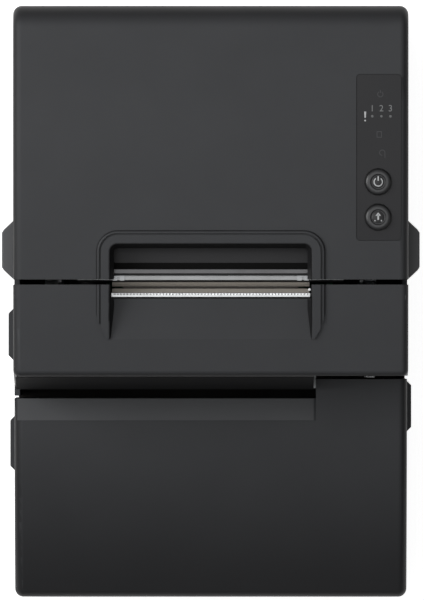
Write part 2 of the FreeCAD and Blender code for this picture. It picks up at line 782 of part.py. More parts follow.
def roll_cover():
    """Top shell: exit notch, panel pocket, hinge knuckles, lever bores, and room for the lid's swing."""
    shell = roll_cover_block(0).cut(roll_cover_block(WALL))
    slant = COLLAR_R * (1 - math.sqrt(0.5))
    back_plate = slab_z(
        [
            (-EXIT_HALF, COVER_FRONT_Y - OVER),
            (-EXIT_HALF, EXIT_BACK_Y - COLLAR_R),
            arc((-EXIT_HALF + slant, EXIT_BACK_Y - slant), (-EXIT_HALF + COLLAR_R, EXIT_BACK_Y)),
            (EXIT_HALF - COLLAR_R, EXIT_BACK_Y),
            arc((EXIT_HALF - slant, EXIT_BACK_Y - slant), (EXIT_HALF, EXIT_BACK_Y - COLLAR_R)),
            (EXIT_HALF, COVER_FRONT_Y - OVER),
        ],
        CASE_TOP - OVER,
        2 * BODY_H,
    )
    well_floor = top_z(COVER_FRONT_Y) - EXIT_DEPTH
    well_wall = box(
        -EXIT_HALF - WALL,
        EXIT_HALF + WALL,
        COVER_FRONT_Y,
        EXIT_BACK_Y + WALL,
        well_floor,
        top_z(SEAM_Y) - WALL,
    )
    shell = fuse([shell, well_wall, collar(COVER_FRONT_Y, COLLAR_BACK_Y + OVER)])
    shell = shell.cut(back_plate)
    front_opening = box(
        -INNER_X, INNER_X, COVER_FRONT_Y - OVER, COVER_FRONT_Y + WALL + OVER, CASE_TOP - OVER, well_floor
    )
    shell = shell.cut(front_opening)
    shell = shell.cut(panel_recess(PANEL_T + LID_GAP, RUN_GAP / 2))
    for y in (POWER_KEY_Y, FEED_KEY_Y):
        shell = shell.cut(rod_z(CASE_TOP, 2 * BODY_H, KEY_X, y, KEY_R + RUN_GAP))
    for x, y in LIGHT_SPOTS:
        shell = shell.cut(rod_z(CASE_TOP, 2 * BODY_H, x, y, LIGHT_R + RUN_GAP))
    shell = shell.cut(
        box(-KNUCKLE_X, KNUCKLE_X, HINGE_Y - 2 * HINGE_R, REAR_Y - WALL, CASE_TOP - OVER, HINGE_Z + HINGE_R)
    )
    for side in (-1, 1):
        x0, x1 = sorted((side * (KNUCKLE_X + RUN_GAP), side * (KNUCKLE_X - EAR_T - 2 * RUN_GAP)))
        shell = shell.cut(box(x0, x1, HINGE_Y, REAR_Y + OVER, CASE_TOP - OVER, HINGE_Z + EAR_R + OVER))
    knuckles = []
    for side in (-1, 1):
        inner = side * KNUCKLE_X
        outer = side * (INNER_X + WALL / 2)
        x0, x1 = sorted((inner, outer))
        knuckles.append(rod_x(x0, x1, HINGE_Y, HINGE_Z, HINGE_R))
        knuckles.append(box(x0, x1, HINGE_Y, REAR_Y - WALL / 2, HINGE_Z, HINGE_Z + 2 * HINGE_R))
    shell = fuse([shell] + knuckles)
    for side in (-1, 1):
        inner = side * (KNUCKLE_X - OVER)
        outer = side * INNER_X
        x0, x1 = sorted((inner, outer))
        shell = shell.cut(rod_x(x0, x1, HINGE_Y, HINGE_Z, HINGE_PIN_R + PIN_GAP))
    shell = shell.cut(rod_x(-BODY_W, BODY_W, LEVER_PIVOT_Y, LEVER_Z, SHAFT_R + PIN_GAP))
    shell = shell.cut(rod_x(-BODY_W, BODY_W, LID_PIVOT_Y, LID_PIVOT_Z, LID_SWING_R + RUN_GAP))
    return shell.removeSplitter()


def front_lid_block(inset):
    """Solid block of the front lid's outline, taken in on all sides by inset."""
    rear = LID_REAR_Y - inset
    foot = COVER_FOOT - (0 if inset == 0 else OVER)
    lean = (LID_FRONT_Y - LID_FOOT_Y) / (top_z(LID_FRONT_Y) - COVER_FOOT)
    front_top = LID_FRONT_Y + inset
    front_foot = front_top - lean * (top_z(LID_FRONT_Y) - foot)
    path = [
        (rear, foot),
        (rear, top_z(rear) - inset),
        arc(
            ((rear + front_top) / 2, top_z((rear + front_top) / 2) - inset),
            (front_top, top_z(front_top) - inset),
        ),
        (front_foot, foot),
    ]
    half = HALF_W - inset
    block = slab_x(path, -half, half)
    if inset > 0:
        return block
    nose = round_edges(
        block,
        LID_NOSE_R,
        lambda p, e: abs(p.x) < 1 and abs(p.y - LID_FRONT_Y) < 0.5 and p.z > BODY_H / 2,
    )
    return round_edges(
        nose,
        LID_EDGE_R,
        lambda p, e: on_side(p, half) and p.z > COVER_FOOT + 1e-3 and p.y < LID_REAR_Y - 1e-3,
    )


def front_lid():
    """Lid over the ribbon, with the receipt ramp, the collar's legs and its finger tab."""
    shell = front_lid_block(0).cut(front_lid_block(WALL))
    rear = LID_REAR_Y + OVER
    shell = shell.cut(box(-INNER_X, INNER_X, LID_PIVOT_Y + OVER, rear, 0, top_z(LID_REAR_Y) - 2 * WALL))
    for side in (-1, 1):
        x0, x1 = sorted((side * (FRAME_X - LID_EAR_CLEAR), side * (FRAME_X + FRAME_T + LID_EAR_CLEAR)))
        shell = shell.cut(box(x0, x1, LID_PIVOT_Y + OVER, LID_REAR_Y + OVER, 0, top_z(LID_PIVOT_Y) - WALL))
    step_x = MOUTH_RIGHT_X - SEAM_GAP / 2
    step_y = BLOCK_BACK_Y + BLOCK_GAP
    shell = shell.cut(box(step_x, BODY_W, FRONT_Y, step_y, 0, BODY_H))
    block = front_lid_block(0)
    step_wall = block.common(box(step_x - WALL, BODY_W, step_y, step_y + WALL, 0, BODY_H))
    step_side = block.common(box(step_x - WALL, step_x, FRONT_Y, step_y + WALL, 0, BODY_H))
    shell = fuse([shell, step_wall, step_side])
    ramp = slab_x(
        [
            (COLLAR_TIP_Y, top_z(COLLAR_TIP_Y)),
            (RAMP_FOOT_Y, top_z(RAMP_FOOT_Y) - RAMP_DROP),
            (RAMP_FOOT_Y, top_z(RAMP_FOOT_Y) - RAMP_DROP - WALL),
            (COLLAR_TIP_Y - WALL, top_z(COLLAR_TIP_Y) - WALL),
            (COLLAR_TIP_Y - WALL, top_z(COLLAR_TIP_Y) - WALL / 2),
        ],
        -EXIT_HALF - WALL,
        EXIT_HALF + WALL,
    )
    cheeks = []
    for side in (-1, 1):
        x0, x1 = sorted((side * EXIT_HALF, side * (EXIT_HALF + WALL)))
        cheek = slab_x(
            [
                (COLLAR_TIP_Y, top_z(COLLAR_TIP_Y) - WALL / 2),
                (LID_REAR_Y, top_z(LID_REAR_Y) - WALL / 2),
                (LID_REAR_Y, top_z(LID_REAR_Y) - 2 * WALL),
                (RAMP_FOOT_Y, top_z(RAMP_FOOT_Y) - RAMP_DROP - WALL),
                (COLLAR_TIP_Y, top_z(COLLAR_TIP_Y) - 2 * WALL),
            ],
            x0,
            x1,
        )
        cheeks.append(cheek)
    shell = fuse([shell, ramp] + cheeks + [collar(COLLAR_TIP_Y - OVER, LID_REAR_Y)])
    clear = slab_x(
        [
            (COLLAR_TIP_Y, top_z(COLLAR_TIP_Y)),
            (RAMP_FOOT_Y, top_z(RAMP_FOOT_Y) - RAMP_DROP),
            (RAMP_FOOT_Y, top_z(RAMP_FOOT_Y) - 2 * RAMP_DROP),
            (LID_REAR_Y + OVER, top_z(RAMP_FOOT_Y) - 2 * RAMP_DROP),
            (LID_REAR_Y + OVER, BODY_H + RAMP_DROP),
            (COLLAR_TIP_Y, BODY_H + RAMP_DROP),
        ],
        -EXIT_HALF,
        EXIT_HALF,
    )
    shell = shell.cut(clear)
    for side in (-1, 1):
        x0, x1 = sorted((side * (INNER_X - LID_BOSS_L), side * (INNER_X + WALL / 2)))
        boss = fuse(
            [
                rod_x(x0, x1, LID_PIVOT_Y, LID_PIVOT_Z, LID_PIVOT_DROP - LID_GAP),
                box(
                    x0,
                    x1,
                    LID_PIVOT_Y - LID_BOSS_HALF,
                    LID_PIVOT_Y + LID_BOSS_HALF,
                    LID_PIVOT_Z,
                    LID_PIVOT_Z + LID_PIVOT_DROP - WALL / 2,
                ),
            ]
        )
        if side > 0:
            bore = rod_x(x0 - OVER, INNER_X, LID_PIVOT_Y, LID_PIVOT_Z, LID_PIN_R + PIN_GAP)
        else:
            bore = rod_x(-INNER_X, x1 + OVER, LID_PIVOT_Y, LID_PIVOT_Z, LID_PIN_R + PIN_GAP)
        shell = fuse([shell, boss]).cut(bore)
    grip_z = (CASE_TOP + top_z(LID_FRONT_Y)) / 2
    shell = fuse([shell, side_grip(-1, LID_GRIP[0], LID_GRIP[1], grip_z)])
    return shell


def side_grip(side, y0, y1, z):
    """Finger tab moulded on a side wall, with sloped ends in plan."""
    reach = HALF_W + GRIP_OUT
    root = HALF_W - WALL / 2
    path = [
        (side * root, y0),
        (side * HALF_W, y0),
        (side * reach, y0 + GRIP_OUT),
        (side * reach, y1 - GRIP_OUT),
        (side * HALF_W, y1),
        (side * root, y1),
    ]
    tab = slab_z(path, z - GRIP_H / 2, z + GRIP_H / 2)
    return round_edges(tab, GRIP_EDGE_R, lambda p, e: abs(abs(p.x) - reach) < 1e-3)


def table_z(y):
    """Height of the slip table's curved top at y."""
    slope = math.radians(TABLE_SLOPE)
    centre_y = MOUTH_CREST_Y + TABLE_R * math.sin(slope)
    centre_z = TABLE_H - TABLE_R * math.cos(slope)
    return centre_z + math.sqrt(TABLE_R ** 2 - (y - centre_y) ** 2)


def front_unit_block(inset):
    """Solid block of the front unit, taken in on all sides by inset."""
    back = BLOCK_BACK_Y - inset
    front = FRONT_Y + inset
    foot = UNIT_BOTTOM - (0 if inset == 0 else OVER)
    middle = (back + front) / 2
    path = [
        (back, foot),
        (back, table_z(back) - inset),
        arc((middle, table_z(middle) - inset), (front, table_z(front) - inset)),
        (front, foot),
    ]
    half = HALF_W - inset
    block = slab_x(path, -half, half)
    if inset > 0:
        return block
    nose = round_edges(
        block,
        TABLE_NOSE_R,
        lambda p, e: abs(p.x) < 1 and abs(p.y - FRONT_Y) < 1e-3 and p.z > UNIT_BOTTOM + 1,
    )
    return round_edges(
        nose,
        EDGE_R,
        lambda p, e: on_side(p, half) and p.z > UNIT_BOTTOM + 1e-3 and p.y < BLOCK_BACK_Y - 1e-3,
    )


def mouth_cut(inset):
    """Region in front of the slip slot that the table leaves open on the left."""
    crest = table_z(MOUTH_CREST_Y) - inset
    path = [
        (MOUTH_Y - inset, UNIT_BOTTOM - 2 * OVER),
        (MOUTH_Y - inset, crest - MOUTH_DROP),
        (MOUTH_CREST_Y, crest),
        (MOUTH_CREST_Y, BODY_H),
        (0, BODY_H),
        (0, UNIT_BOTTOM - 2 * OVER),
    ]
    return slab_x(path, -BODY_W, MOUTH_RIGHT_X + inset)


def front_unit_case():
    """Front housing: slip table, lead-in lip, raised right block, open at the back and below."""
    outer = front_unit_block(0).cut(mouth_cut(0))
    inner = front_unit_block(WALL).cut(mouth_cut(WALL))
    shell = outer.cut(inner)
    back_window = box(
        -INNER_X + UNIT_BOSS_L,
        INNER_X - UNIT_BOSS_L,
        MOUTH_Y - WALL - OVER,
        0,
        UNIT_BOTTOM - OVER,
        SLIP_Z - UNIT_WINDOW_DROP,
    )
    shell = shell.cut(back_window)
    bosses = []
    for side in (-1, 1):
        x0, x1 = sorted((side * (INNER_X - UNIT_BOSS_L), side * (INNER_X + WALL / 2)))
        boss = rod_x(x0, x1, UNIT_PIVOT_Y, UNIT_PIVOT_Z, UNIT_PIN_R + UNIT_BOSS_WALL)
        bosses.append(boss)
    grip_z = CASE_TOP / 2
    grips = [
        side_grip(-1, UNIT_LEFT_GRIP[0], UNIT_LEFT_GRIP[1], grip_z),
        side_grip(1, UNIT_RIGHT_GRIP[0], UNIT_RIGHT_GRIP[1], grip_z),
    ]
    shell = fuse([shell] + bosses + grips)
    for side in (-1, 1):
        x0, x1 = sorted((side * (INNER_X - UNIT_BOSS_L - OVER), side * INNER_X))
        shell = shell.cut(rod_x(x0, x1, UNIT_PIVOT_Y, UNIT_PIVOT_Z, UNIT_PIN_R + PIN_GAP))
    return shell


def base_case():
    """Lower housing walls, open at the front, with the slip gap on the left and a port bay behind."""
    left_end = MOUTH_Y + SEAM_GAP / 2
    right_end = BLOCK_BACK_Y + BLOCK_GAP
    outer = soft_box(-HALF_W, HALF_W, left_end - 2 * EDGE_R, REAR_Y, PLATE_TOP, CASE_TOP, EDGE_R)
    inner = soft_box(
        -INNER_X,
        INNER_X,
        left_end - 4 * EDGE_R,
        REAR_Y - WALL,
        PLATE_TOP - OVER,
        CASE_TOP + OVER,
        EDGE_R - WALL + LID_GAP,
    )
    walls = outer.cut(inner)
    walls = walls.cut(box(-BODY_W, 0, FRONT_Y, left_end, 0, BODY_H))
    walls = walls.cut(box(0, BODY_W, FRONT_Y, right_end, 0, BODY_H))
    slip_floor = SLIP_Z - GUIDE_T - LID_GAP
    slip_gap = box(-BODY_W, -INNER_X + OVER, left_end - OVER, -WALL, slip_floor, CASE_TOP + OVER)
    walls = walls.cut(slip_gap)
    walls = walls.cut(port_bay())
    shelf = box(-BAY_HALF_W, BAY_HALF_W, BAY_END_Y, REAR_Y - WALL / 2, BAY_TOP, BAY_TOP + WALL)
    trough = rod_x(-BODY_W, BODY_W, HINGE_Y, HINGE_Z, HINGE_R + LID_GAP)
    ears = []
    for side in (-1, 1):
        x0 = side * (KNUCKLE_X - RUN_GAP)
        x1 = x0 - side * EAR_T
        low, high = sorted((x0, x1))
        ear = fuse(
            [
                rod_x(low, high, HINGE_Y, HINGE_Z, EAR_R),
                box(low, high, HINGE_Y - EAR_R, HINGE_Y + EAR_R, CASE_TOP - EAR_DROP, HINGE_Z),
                box(low, high, HINGE_Y, REAR_Y - WALL / 2, CASE_TOP - EAR_DROP, CASE_TOP - EAR_WEB_DROP),
            ]
        )
        ears.append(ear)
    walls = walls.cut(trough)
    bay_sides = []
    for side in (-1, 1):
        low, high = sorted((side * BAY_HALF_W, side * (BAY_HALF_W + BAY_WALL)))
        bay_sides.append(box(low, high, BAY_END_Y, REAR_Y - WALL / 2, PLATE_TOP, BAY_TOP + WALL))
    walls = fuse([walls, shelf] + ears + bay_sides)
    for side in (-1, 1):
        x0, x1 = sorted((side * (KNUCKLE_X - EAR_T - OVER), side * INNER_X))
        walls = walls.cut(rod_x(x0, x1, HINGE_Y, HINGE_Z, HINGE_PIN_R))
    posts = [screw_post(x, y) for x, y in SCREW_SPOTS]
    return fuse([walls] + posts)


def screw_post(x, y):
    """Moulded post in the case that takes a bottom screw, tied to the side wall."""
    side = 1 if x > 0 else -1
    x0, x1 = sorted((x, side * (HALF_W - WALL / 2)))
    web = box(x0, x1, y - POST_WEB_T / 2, y + POST_WEB_T / 2, PLATE_TOP, PLATE_TOP + POST_H)
    post = rod_z(PLATE_TOP, PLATE_TOP + POST_H, x, y, POST_R)
    return fuse([post, web]).cut(rod_z(PLATE_TOP - OVER, PLATE_TOP + POST_BORE, x, y, SCREW_R))


def port_bay():
    """Space of the port bay at the rear."""
    return box(-BAY_HALF_W, BAY_HALF_W, BAY_END_Y, REAR_Y + OVER, BAY_FLOOR, BAY_TOP)


def bottom_plate():
    """Steel base plate under the case and the front unit, with hinge ears at the front."""
    half = HALF_W - PLATE_RIM
    plate = soft_box(-half, half, FRONT_Y + PLATE_FRONT_IN, REAR_Y - PLATE_RIM, FOOT_H, PLATE_TOP, EDGE_R)
    half = HALF_W - PLATE_LEDGE_IN
    ledge = soft_box(
        -half, half, MOUTH_Y - 2 * EDGE_R, REAR_Y - PLATE_LEDGE_IN, FOOT_H, PLATE_TOP, EDGE_R
    )
    plate = fuse([plate, ledge])
    for x, y in SCREW_SPOTS:
        plate = plate.cut(rod_z(FOOT_H - OVER, PLATE_TOP + OVER, x, y, SCREW_R + RUN_GAP))
    ears = []
    for side in (-1, 1):
        x0 = side * (INNER_X - UNIT_BOSS_L - RUN_GAP)
        low, high = sorted((x0, x0 - side * UNIT_EAR_T))
        front = UNIT_PIVOT_Y - UNIT_EAR_FRONT
        ear = fuse(
            [
                rod_x(low, high, UNIT_PIVOT_Y, UNIT_PIVOT_Z, UNIT_PIN_R + UNIT_BOSS_WALL),
                box(low, high, front, UNIT_PIVOT_Y + UNIT_EAR_BACK, FOOT_H, UNIT_PIVOT_Z),
            ]
        )
        ears.append(ear)
    plate = fuse([plate] + ears)
    for side in (-1, 1):
        x0, x1 = sorted((side * (INNER_X - UNIT_BOSS_L - 2 * UNIT_EAR_T), side * INNER_X))
        plate = plate.cut(rod_x(x0, x1, UNIT_PIVOT_Y, UNIT_PIVOT_Z, UNIT_PIN_R))
    return plate


def rubber_feet():
    """Round feet with a domed edge, stuck under the base plate."""
    feet = []
    for x, y in FOOT_SPOTS:
        foot = rod_z(0, FOOT_H, x, y, FOOT_R)
        feet.append(round_edges(foot, FOOT_EDGE_R, lambda p, e: p.z < 1e-3))
    return Part.makeCompound(feet)


def case_screws():
    """Pan-head screws from below into the case posts."""
    screws = []
    for x, y in SCREW_SPOTS:
        low = FOOT_H - SCREW_HEAD_H
        head = rod_z(low, FOOT_H, x, y, SCREW_HEAD_R)
        head = round_edges(head, SCREW_HEAD_EDGE, lambda p, e: p.z < low + 1e-3)
        shank = rod_z(FOOT_H, PLATE_TOP + SCREW_L, x, y, SCREW_R)
        screw = fuse([head, shank])
        for half_x, half_y in ((SCREW_SLOT_L / 2, SCREW_SLOT_W / 2), (SCREW_SLOT_W / 2, SCREW_SLOT_L / 2)):
            slot_top = low + SCREW_HEAD_H / 2
            screw = screw.cut(box(x - half_x, x + half_x, y - half_y, y + half_y, low - OVER, slot_top))
        screws.append(screw)
    return Part.makeCompound(screws)


def cover_hinge_pins():
    """Two pins that the roll cover turns on, pressed into the case ears."""
    pins = []
    for side in (-1, 1):
        x0 = side * (INNER_X - RUN_GAP)
        x1 = side * (KNUCKLE_X - RUN_GAP - EAR_T)
        low, high = sorted((x0, x1))
        pins.append(rod_x(low, high, HINGE_Y, HINGE_Z, HINGE_PIN_R))
    return Part.makeCompound(pins)


def front_unit_pins():
    """Two pins that the front unit tilts on, pressed into the plate ears."""
    pins = []
    for side in (-1, 1):
        outer = INNER_X - RUN_GAP
        low, high = sorted((side * outer, side * (outer - UNIT_BOSS_L - UNIT_EAR_T)))
        pins.append(rod_x(low, high, UNIT_PIVOT_Y, UNIT_PIVOT_Z, UNIT_PIN_R))
    return Part.makeCompound(pins)


def side_frame(side):
    """Sheet-steel side frame with its foot flange, shaft holes and platen notch."""
    x0 = FRAME_X if side > 0 else -FRAME_X - FRAME_T
    x1 = x0 + FRAME_T
    path = [
        (FRAME_FRONT_Y, PLATE_TOP),
        (FRAME_FRONT_Y, FRAME_TOP),
        (LID_PIVOT_Y - FRAME_EAR_FRONT, LID_PIVOT_Z - FRAME_EAR_DROP),
        (LID_PIVOT_Y - PIVOT_EAR_R, LID_PIVOT_Z),
        arc((LID_PIVOT_Y, LID_PIVOT_Z + PIVOT_EAR_R), (LID_PIVOT_Y + PIVOT_EAR_R, LID_PIVOT_Z)),
        (PLATEN_Y - BEARING_R - FRAME_LAND, PLATEN_Z + FRAME_LAND_RISE),
        (PLATEN_Y + BEARING_R + FRAME_SHOULDER, PLATEN_Z + FRAME_SHOULDER_RISE),
        (LEVER_PIVOT_Y + CATCH_LAND, CATCH_Z + CATCH_LAND_RISE),
        (FRAME_REAR_Y, CASE_TOP - FRAME_REAR_DROP),
        (FRAME_REAR_Y, PLATE_TOP),
    ]
    plate = slab_x(path, x0, x1)
    notch_r = BEARING_R + RUN_GAP
    notch = fuse(
        [
            rod_x(x0 - OVER, x1 + OVER, PLATEN_Y, PLATEN_Z, notch_r),
            slab_x(
                [
                    (PLATEN_Y - notch_r, PLATEN_Z),
                    (PLATEN_Y - notch_r, PLATEN_Z + 4 * NOTCH_FLARE),
                    (PLATEN_Y + notch_r + NOTCH_FLARE, PLATEN_Z + 4 * NOTCH_FLARE),
                    (PLATEN_Y + notch_r, PLATEN_Z),
                ],
                x0 - OVER,
                x1 + OVER,
            ),
        ]
    )
    plate = plate.cut(notch)
    if side < 0:
        rear = GUIDE_REAR_Y + LID_GAP
        front = FRAME_FRONT_Y - OVER
        plate = plate.cut(box(x0 - OVER, x1 + OVER, front, rear, SLIP_Z - GUIDE_T, SLIP_Z + SLIP_GAP))
    low, high = sorted((x0 if side > 0 else x1, x0 + FOOT_FLANGE if side > 0 else x1 - FOOT_FLANGE))
    foot = box(low, high, FRAME_FRONT_Y + FLANGE_IN, FRAME_REAR_Y - FLANGE_IN, PLATE_TOP, PLATE_TOP + FRAME_T)
    plate = fuse([plate, foot])
    holes = [
        (CARRIAGE_ROD_Y, CARRIAGE_ROD_Z, CARRIAGE_ROD_R),
        (ROLLER_SHAFT_Y, ROLLER_SHAFT_Z, SHAFT_R + PIN_GAP),
        (CUTTER_Y, CUTTER_Z, CUTTER_SHAFT_R + PIN_GAP),
    ]
    if side > 0:
        holes += [
            (MOTOR_Y, MOTOR_Z, MOTOR_BOSS_R + RUN_GAP),
            (SLIP_MOTOR_Y, SLIP_MOTOR_Z, MOTOR_BOSS_R + RUN_GAP),
        ]
    for y, z, radius in holes:
        plate = plate.cut(rod_x(x0 - OVER, x1 + OVER, y, z, radius))
    studs = [lid_stud(side), latch_catch(side), cassette_rail(side)]
    if side > 0:
        studs.append(feed_axle())
    return fuse([plate] + studs)


def lid_stud(side):
    """Stud on a side frame that the front lid turns on."""
    low, high = sorted((side * (INNER_X - RUN_GAP), side * FRAME_X))
    return rod_x(low, high, LID_PIVOT_Y, LID_PIVOT_Z, LID_PIN_R)


def latch_catch(side):
    """Pin on a side frame under which the latch hook sits."""
    low, high = sorted((side * HOOK_X, side * FRAME_X))
    return rod_x(low, high, LEVER_PIVOT_Y + CATCH_BACK, CATCH_Z, CATCH_R)


def cassette_rail(side):
    """Ledge on a side frame that the ribbon cassette rests on."""
    low, high = sorted((side * FRAME_X, side * (CASSETTE_HALF - CASSETTE_RAIL_REACH)))
    return box(low, high, CASSETTE_RAIL[0], CASSETTE_RAIL[1], CASSETTE_LOW - CASSETTE_RAIL_T, CASSETTE_LOW)


def gear(teeth, y, z, x0, x1, turn, bore):
    """Spur gear on an X axis: a trapezoid flank on each tooth, turned by part of a tooth."""
    pitch = teeth * GEAR_MODULE / 2
    root = pitch - GEAR_DEDENDUM * GEAR_MODULE
    tip = pitch + GEAR_ADDENDUM * GEAR_MODULE
    step = 2 * math.pi / teeth
    half_root = TOOTH_ROOT_SHARE * step
    half_tip = TOOTH_TIP_SHARE * step
    points = []
    for index in range(teeth):
        middle = (index + turn) * step
        for radius, offset in ((root, -half_root), (tip, -half_tip), (tip, half_tip), (root, half_root)):
            angle = middle + offset
            points.append((y + radius * math.cos(angle), z + radius * math.sin(angle)))
    blank = slab_x(points, x0, x1)
    if bore > 0:
        blank = blank.cut(rod_x(x0 - OVER, x1 + OVER, y, z, bore))
    return blank


def mesh_turn(teeth, toward, gap):
    """Turn, in teeth, that puts a tooth (gap False) or a space (gap True) at the angle toward."""
    step = 2 * math.pi / teeth
    turn = toward / step
    return turn + (0.5 if gap else 0.0)


def feed_gear():
    up = math.pi / 2
    turn = mesh_turn(FEED_TEETH, up, False)
    return gear(FEED_TEETH, FEED_Y, FEED_Z, GEAR_X0, GEAR_X1, turn, FEED_AXLE_R + PIN_GAP)


def feed_axle():
    """Fixed stud on the right frame with a head that keeps the feed gear on."""
    stud = rod_x(FRAME_X, GEAR_X1 + RUN_GAP, FEED_Y, FEED_Z, FEED_AXLE_R)
    end = GEAR_X1 + RUN_GAP
    return fuse([stud, rod_x(end, end + SHAFT_END, FEED_Y, FEED_Z, FEED_AXLE_R + FEED_AXLE_HEAD)])


def feed_pinion():
    """Pinion pressed on the receipt motor's shaft, with its own stub of shaft."""
    toward_feed = math.atan2(FEED_Z - MOTOR_Z, FEED_Y - MOTOR_Y)
    step = 2 * math.pi / FEED_TEETH
    back = toward_feed + math.pi
    offset = (back - math.pi / 2) / step
    share = offset - math.floor(offset)
    turn = toward_feed / (2 * math.pi / PINION_TEETH) + 0.5 + share
    teeth = gear(PINION_TEETH, MOTOR_Y, MOTOR_Z, GEAR_X0, GEAR_X1, turn, 0)
    shaft = rod_x(FRAME_X - MOTOR_STUB, GEAR_X0, MOTOR_Y, MOTOR_Z, MOTOR_SHAFT_R)
    return fuse([teeth, shaft])


def motor(y, z, x_face, length, radius):
    """Round stepping motor with a boss through the frame and a flanged face."""
    can = rod_x(x_face - length, x_face, y, z, radius)
    can = round_edges(can, MOTOR_EDGE_R, lambda p, e: p.x < x_face - length + 1e-3)
    boss = rod_x(x_face, x_face + FRAME_T, y, z, MOTOR_BOSS_R)
    bore = rod_x(x_face - MOTOR_STUB - RUN_GAP, x_face + FRAME_T + OVER, y, z, MOTOR_SHAFT_R + PIN_GAP)
    return fuse([can, boss]).cut(bore)


def receipt_motor():
    return motor(MOTOR_Y, MOTOR_Z, FRAME_X, MOTOR_L, MOTOR_R)


def slip_motor():
    return motor(SLIP_MOTOR_Y, SLIP_MOTOR_Z, FRAME_X, SLIP_MOTOR_L, SLIP_MOTOR_R)


def slip_pinion():
    toward = math.atan2(ROLLER_SHAFT_Z - SLIP_MOTOR_Z, ROLLER_SHAFT_Y - SLIP_MOTOR_Y)
    teeth = gear(
        SLIP_PINION_TEETH,
        SLIP_MOTOR_Y,
        SLIP_MOTOR_Z,
        GEAR_X0,
        GEAR_X1,
        mesh_turn(SLIP_PINION_TEETH, toward, False),
        0,
    )
    return fuse([teeth, rod_x(FRAME_X - MOTOR_STUB, GEAR_X0, SLIP_MOTOR_Y, SLIP_MOTOR_Z, MOTOR_SHAFT_R)])


def platen_roller():
    """Rubber sleeve with relieved ends."""
    sleeve = rod_x(-PLATEN_L / 2, PLATEN_L / 2, PLATEN_Y, PLATEN_Z, PLATEN_R)
    sleeve = sleeve.makeChamfer(PLATEN_CHAMFER, [e for e in sleeve.Edges if len(e.Vertexes) == 1])
    return sleeve.cut(rod_x(-PLATEN_L, PLATEN_L, PLATEN_Y, PLATEN_Z, SHAFT_R))


def platen_shaft():
    """Steel shaft of the platen with its drive gear on the right end."""
    shaft = rod_x(-FRAME_X - FRAME_T - SHAFT_END, GEAR_X1 + SHAFT_END, PLATEN_Y, PLATEN_Z, SHAFT_R)
    turn = mesh_turn(PLATEN_TEETH, -math.pi / 2, True)
    return fuse([shaft, gear(PLATEN_TEETH, PLATEN_Y, PLATEN_Z, GEAR_X0, GEAR_X1, turn, 0)])


def platen_bearings():
    """Flanged plain bearings in the bracket arms; they drop into the frame notches."""
    bearings = []
    for side in (-1, 1):
        inner = side * (BRACKET_X - BEARING_LIP)
        outer = side * (FRAME_X + FRAME_T)
        low, high = sorted((inner, outer))
        ring = rod_x(low, high, PLATEN_Y, PLATEN_Z, BEARING_R)
        ring = ring.cut(rod_x(low - OVER, high + OVER, PLATEN_Y, PLATEN_Z, SHAFT_R + PIN_GAP))
        bearings.append(ring)
    return Part.makeCompound(bearings)


def platen_bracket():
    """Folded steel bracket in the roll cover that carries the platen and the fixed blade."""
    top = top_z(COVER_FRONT_Y) - EXIT_DEPTH
    deck_front = COVER_FRONT_Y + BRACKET_FRONT
    deck_rear = EXIT_BACK_Y + WALL
    deck = box(-BRACKET_X, BRACKET_X, deck_front, deck_rear, top - BRACKET_T, top)
    lip_y = deck_front + BRACKET_LIP_BACK
    lip_half = EXIT_HALF - LID_GAP
    lip = box(-lip_half, lip_half, lip_y, lip_y + BRACKET_LIP_T, top - BRACKET_T, top + BRACKET_LIP_H)
    arms = []
    for side in (-1, 1):
        low, high = sorted((side * BRACKET_X, side * (BRACKET_X - BRACKET_T)))
        arm = slab_x(
            [
                (deck_front, top - BRACKET_T),
                (PLATEN_Y - BEARING_R - BRACKET_RING, PLATEN_Z),
                (PLATEN_Y - BEARING_R - BRACKET_RING, PLATEN_Z - BEARING_R - BRACKET_RING),
                (PLATEN_Y + BEARING_R + BRACKET_RING, PLATEN_Z - BEARING_R - BRACKET_RING),
                (deck_rear, PLATEN_Z),
                (deck_rear, top),
                (deck_front, top),
            ],
            low,
            high,
        )
        arms.append(arm.cut(rod_x(low - OVER, high + OVER, PLATEN_Y, PLATEN_Z, BEARING_R)))
    rear_web = box(-BRACKET_X, BRACKET_X, deck_rear - BRACKET_T, deck_rear, PLATEN_Z, top)
    web_top = top_z(deck_rear - BRACKET_T) - WALL - PIN_GAP
    tabs = []
    for side in (-1, 1):
        low, high = sorted((side * BRACKET_X, side * (BRACKET_X - BRACKET_TAB_W)))
        tabs.append(box(low, high, deck_rear - BRACKET_T, deck_rear, top - BRACKET_T, web_top))
    return fuse([deck, lip, rear_web] + arms + tabs)


def fixed_blade():
    """Fixed knife under the bracket's front, with its ground edge towards the paper."""
    low = BLADE_Z + BLADE_T + BLADE_GAP
    high = top_z(COVER_FRONT_Y) - EXIT_DEPTH - BRACKET_T
    back = PLATEN_Y + FIXED_BLADE_BACK
    path = [
        (FIXED_EDGE_Y, low),
        (FIXED_EDGE_Y, low + FIXED_EDGE_T),
        (FIXED_EDGE_Y + 2 * FIXED_EDGE_T, high),
        (back, high),
        (back, low),
    ]
    half = BRACKET_X - BRACKET_T - BLADE_GAP
    return slab_x(path, -half, half)


